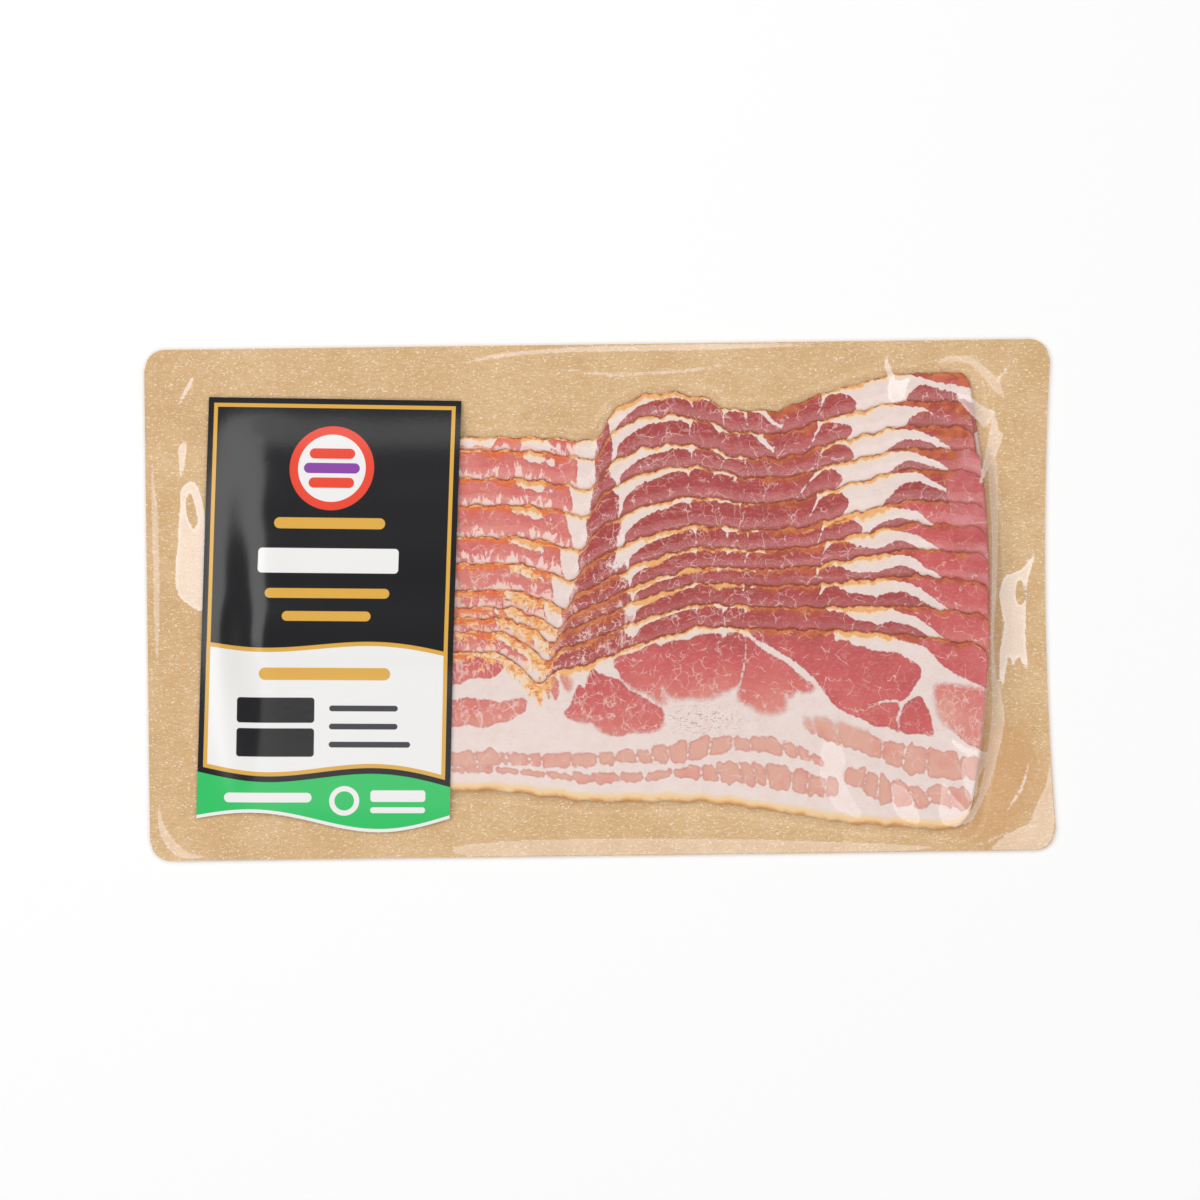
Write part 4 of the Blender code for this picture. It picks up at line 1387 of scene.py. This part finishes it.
# Bars and discs of the print, in millimetres from the label's foot at its left side:
# (x, y, half width, half height, corner radius, ink)
PRINT_SHAPES = (
    (39.0, 108.0, 13.0, 13.0, 13.0, INK_RED),
    (39.0, 108.0, 10.4, 10.4, 10.4, INK_WHITE),
    (39.0, 112.5, 7.0, 1.6, 1.6, INK_RED),
    (39.0, 108.0, 8.6, 1.6, 1.6, INK_PURPLE),
    (39.0, 103.5, 7.0, 1.6, 1.6, INK_RED),
    (39.0, 91.0, 17.0, 1.7, 1.7, INK_GOLD),
    (39.0, 79.5, 21.5, 3.8, 1.2, INK_WHITE),
    (39.0, 69.5, 19.0, 1.5, 1.5, INK_GOLD),
    (39.0, 62.5, 13.5, 1.5, 1.5, INK_GOLD),
    (39.0, 44.8, 20.0, 1.9, 1.9, INK_GOLD),
    (24.0, 33.6, 12.0, 3.9, 1.0, INK_BLACK),
    (24.0, 23.6, 12.0, 4.4, 1.0, INK_BLACK),
    (51.0, 34.2, 10.5, 0.9, 0.9, INK_GREY),
    (51.0, 28.6, 10.5, 0.9, 0.9, INK_GREY),
    (53.0, 23.0, 12.5, 0.9, 0.9, INK_GREY),
    (22.0, 6.5, 13.5, 1.5, 1.5, INK_WHITE),
    (45.5, 5.5, 4.6, 4.6, 4.6, INK_WHITE),
    (45.5, 5.5, 3.0, 3.0, 3.0, INK_GREEN),
    (62.0, 7.0, 8.5, 1.8, 1.0, INK_WHITE),
    (62.0, 2.6, 8.5, 0.9, 0.9, INK_WHITE),
)


def label_material():
    material, shading, surface = new_material("printed label")
    spot = shading.node("ShaderNodeUVMap", {"uv_map": "print"}).outputs[0]
    split = shading.node("ShaderNodeSeparateXYZ", None, Vector=spot)
    across = shading.times(split.outputs[0], PRINT_FIELD)
    up = shading.scaled(split.outputs[1], PRINT_FIELD, -PRINT_MARGIN)

    def wave(left, right, half_sine, full_sine):
        """A wavy line across the label: its height at both sides and its two swings."""
        share = shading.math("DIVIDE", across, LABEL_WIDTH)
        level = shading.scaled(share, right - left, left)
        for turns, size in ((math.pi, half_sine), (2 * math.pi, full_sine)):
            swing = shading.math("SINE", shading.times(share, turns))
            level = shading.scaled(swing, size, level)
        return shading.minus(up, level)

    def band(distance, low, high):
        """1 where the distance lies between low and high."""
        begun = shading.step(distance, low - PRINT_BLUR, low + PRINT_BLUR)
        ended = shading.step(distance, high + PRINT_BLUR, high - PRINT_BLUR)
        return shading.times(begun, ended)

    panel_top = wave(*PANEL_TOP)
    panel_foot = wave(*PANEL_FOOT)
    foot = wave(0.0, 0.0, LABEL_SAG, LABEL_WAVE)

    ink = shading.mix(shading.step(panel_top, PRINT_BLUR, -PRINT_BLUR), INK_BLACK, INK_WHITE)
    ink = shading.mix(band(panel_top, *GOLD_LINE), ink, INK_GOLD)
    ink = shading.mix(shading.step(panel_foot, PRINT_BLUR, -PRINT_BLUR), ink, INK_BLACK)
    ink = shading.mix(band(panel_foot, *GOLD_LINE), ink, INK_GOLD)

    from_side = shading.math("MINIMUM", across, shading.minus(LABEL_WIDTH, across))
    from_top = shading.minus(LABEL_HEIGHT, up)
    from_edge = shading.math("MINIMUM", from_side, from_top)
    in_panel = shading.step(panel_foot, -0.2, 0.0)
    frame_line = shading.times(band(from_edge, 1.7, 2.9), in_panel)
    ink = shading.mix(shading.step(from_edge, 1.8, 1.6), ink, INK_BLACK)
    ink = shading.mix(frame_line, ink, INK_GOLD)
    ink = shading.mix(shading.step(panel_foot, -1.9, -2.1), ink, INK_GREEN)
    ink = shading.mix(shading.step(foot, 1.1, 0.95), ink, INK_WHITE)

    bar = shape_group()
    for x, y, half_width, half_height, radius, tint in PRINT_SHAPES:
        sizes = {"X": x, "Y": y, "Half width": half_width, "Half height": half_height, "Radius": radius}
        mask = use_group(shading, bar, Across=across, Up=up, **sizes)["Mask"]
        ink = shading.mix(mask, ink, tint)

    shading.feed(surface.inputs["Base Color"], ink)
    surface.inputs["Roughness"].default_value = 0.22
    tooth = shading.noise(shading.place(), 0.6, 3.0)
    relief = shading.node("ShaderNodeBump", None, Strength=0.12, Distance=0.0002, Height=tooth)
    shading.feed(surface.inputs["Normal"], relief.outputs[0])
    return material


# Camera, floor and lights

FRAME_PIXELS = 1200
BOARD_PIXELS = 905  # of which the board's length takes this many
BOARD_TURN = math.atan2(10, 800)  # how far the board is turned in the frame
FLOOR_REACH = 3  # in metres, from the middle to each side
FLOOR_DROP = 0.0002  # how far under the board the floor lies, in metres
WORLD_STRENGTH = 0.27
SOFTBOX_DISTANCE = 1.5  # in metres
# name, azimuth and elevation in degrees, size in metres, power in watts
SOFTBOXES = (
    ("window", 160, 48, (1.2, 1.0), 9.6),
    ("fill", 340, 50, (1.2, 1.0), 5.8),
    ("back", 80, 50, (1.4, 0.8), 5.8),
    ("near", 262, 52, (1.4, 0.8), 4.4),
)


def add_camera():
    data = bpy.data.cameras.new("camera")
    data.lens = 100
    data.sensor_width = 36
    camera = bpy.data.objects.new("camera", data)
    frame_width = BOARD_LENGTH * MM * FRAME_PIXELS / BOARD_PIXELS
    camera.location = (0, 0, frame_width * data.lens / data.sensor_width)
    camera.rotation_euler = (0, 0, -BOARD_TURN)
    bpy.context.scene.collection.objects.link(camera)
    bpy.context.scene.camera = camera


def add_floor():
    bm = bmesh.new()
    bmesh.ops.create_grid(bm, x_segments=2, y_segments=2, size=FLOOR_REACH)
    mesh = bpy.data.meshes.new("floor")
    bm.to_mesh(mesh)
    bm.free()
    material, _, surface = new_material("pale floor")
    surface.inputs["Base Color"].default_value = (0.98, 0.98, 0.98, 1)
    surface.inputs["Roughness"].default_value = 0.9
    mesh.materials.append(material)
    floor = bpy.data.objects.new("floor", mesh)
    floor.location.z = -FLOOR_DROP
    bpy.context.scene.collection.objects.link(floor)


def add_softbox(name, azimuth, elevation, size, power):
    data = bpy.data.lights.new(name, "AREA")
    data.shape = "RECTANGLE"
    data.size, data.size_y = size
    data.energy = power
    light = bpy.data.objects.new(name, data)
    turn, rise = math.radians(azimuth), math.radians(elevation)
    flat = SOFTBOX_DISTANCE * math.cos(rise)
    light.location = (flat * math.cos(turn), flat * math.sin(turn), SOFTBOX_DISTANCE * math.sin(rise))
    light.rotation_euler = (math.pi / 2 - rise, 0, turn + math.pi / 2)
    bpy.context.scene.collection.objects.link(light)


def add_light():
    world = bpy.data.worlds.new("studio")
    world.use_nodes = True
    background = world.node_tree.nodes["Background"]
    background.inputs["Color"].default_value = (1, 1, 1, 1)
    background.inputs["Strength"].default_value = WORLD_STRENGTH
    bpy.context.scene.world = world
    for softbox in SOFTBOXES:
        add_softbox(*softbox)


def main():
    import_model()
    bpy.context.scene.view_settings.view_transform = "Standard"
    add_camera()
    fibres, veins = fibres_group(), veins_group()
    film_field = drape(FILM_PULL)
    label_field = label_skin(film_field, drape(LABEL_PULL))
    make_board(board_material(fibres))
    meat = meat_material(fibres, veins)
    for index in range(SLICE_COUNT):
        make_slice(index, meat)
    make_film(film_field, film_material())
    make_label(label_field, label_material())
    add_floor()
    add_light()


main()
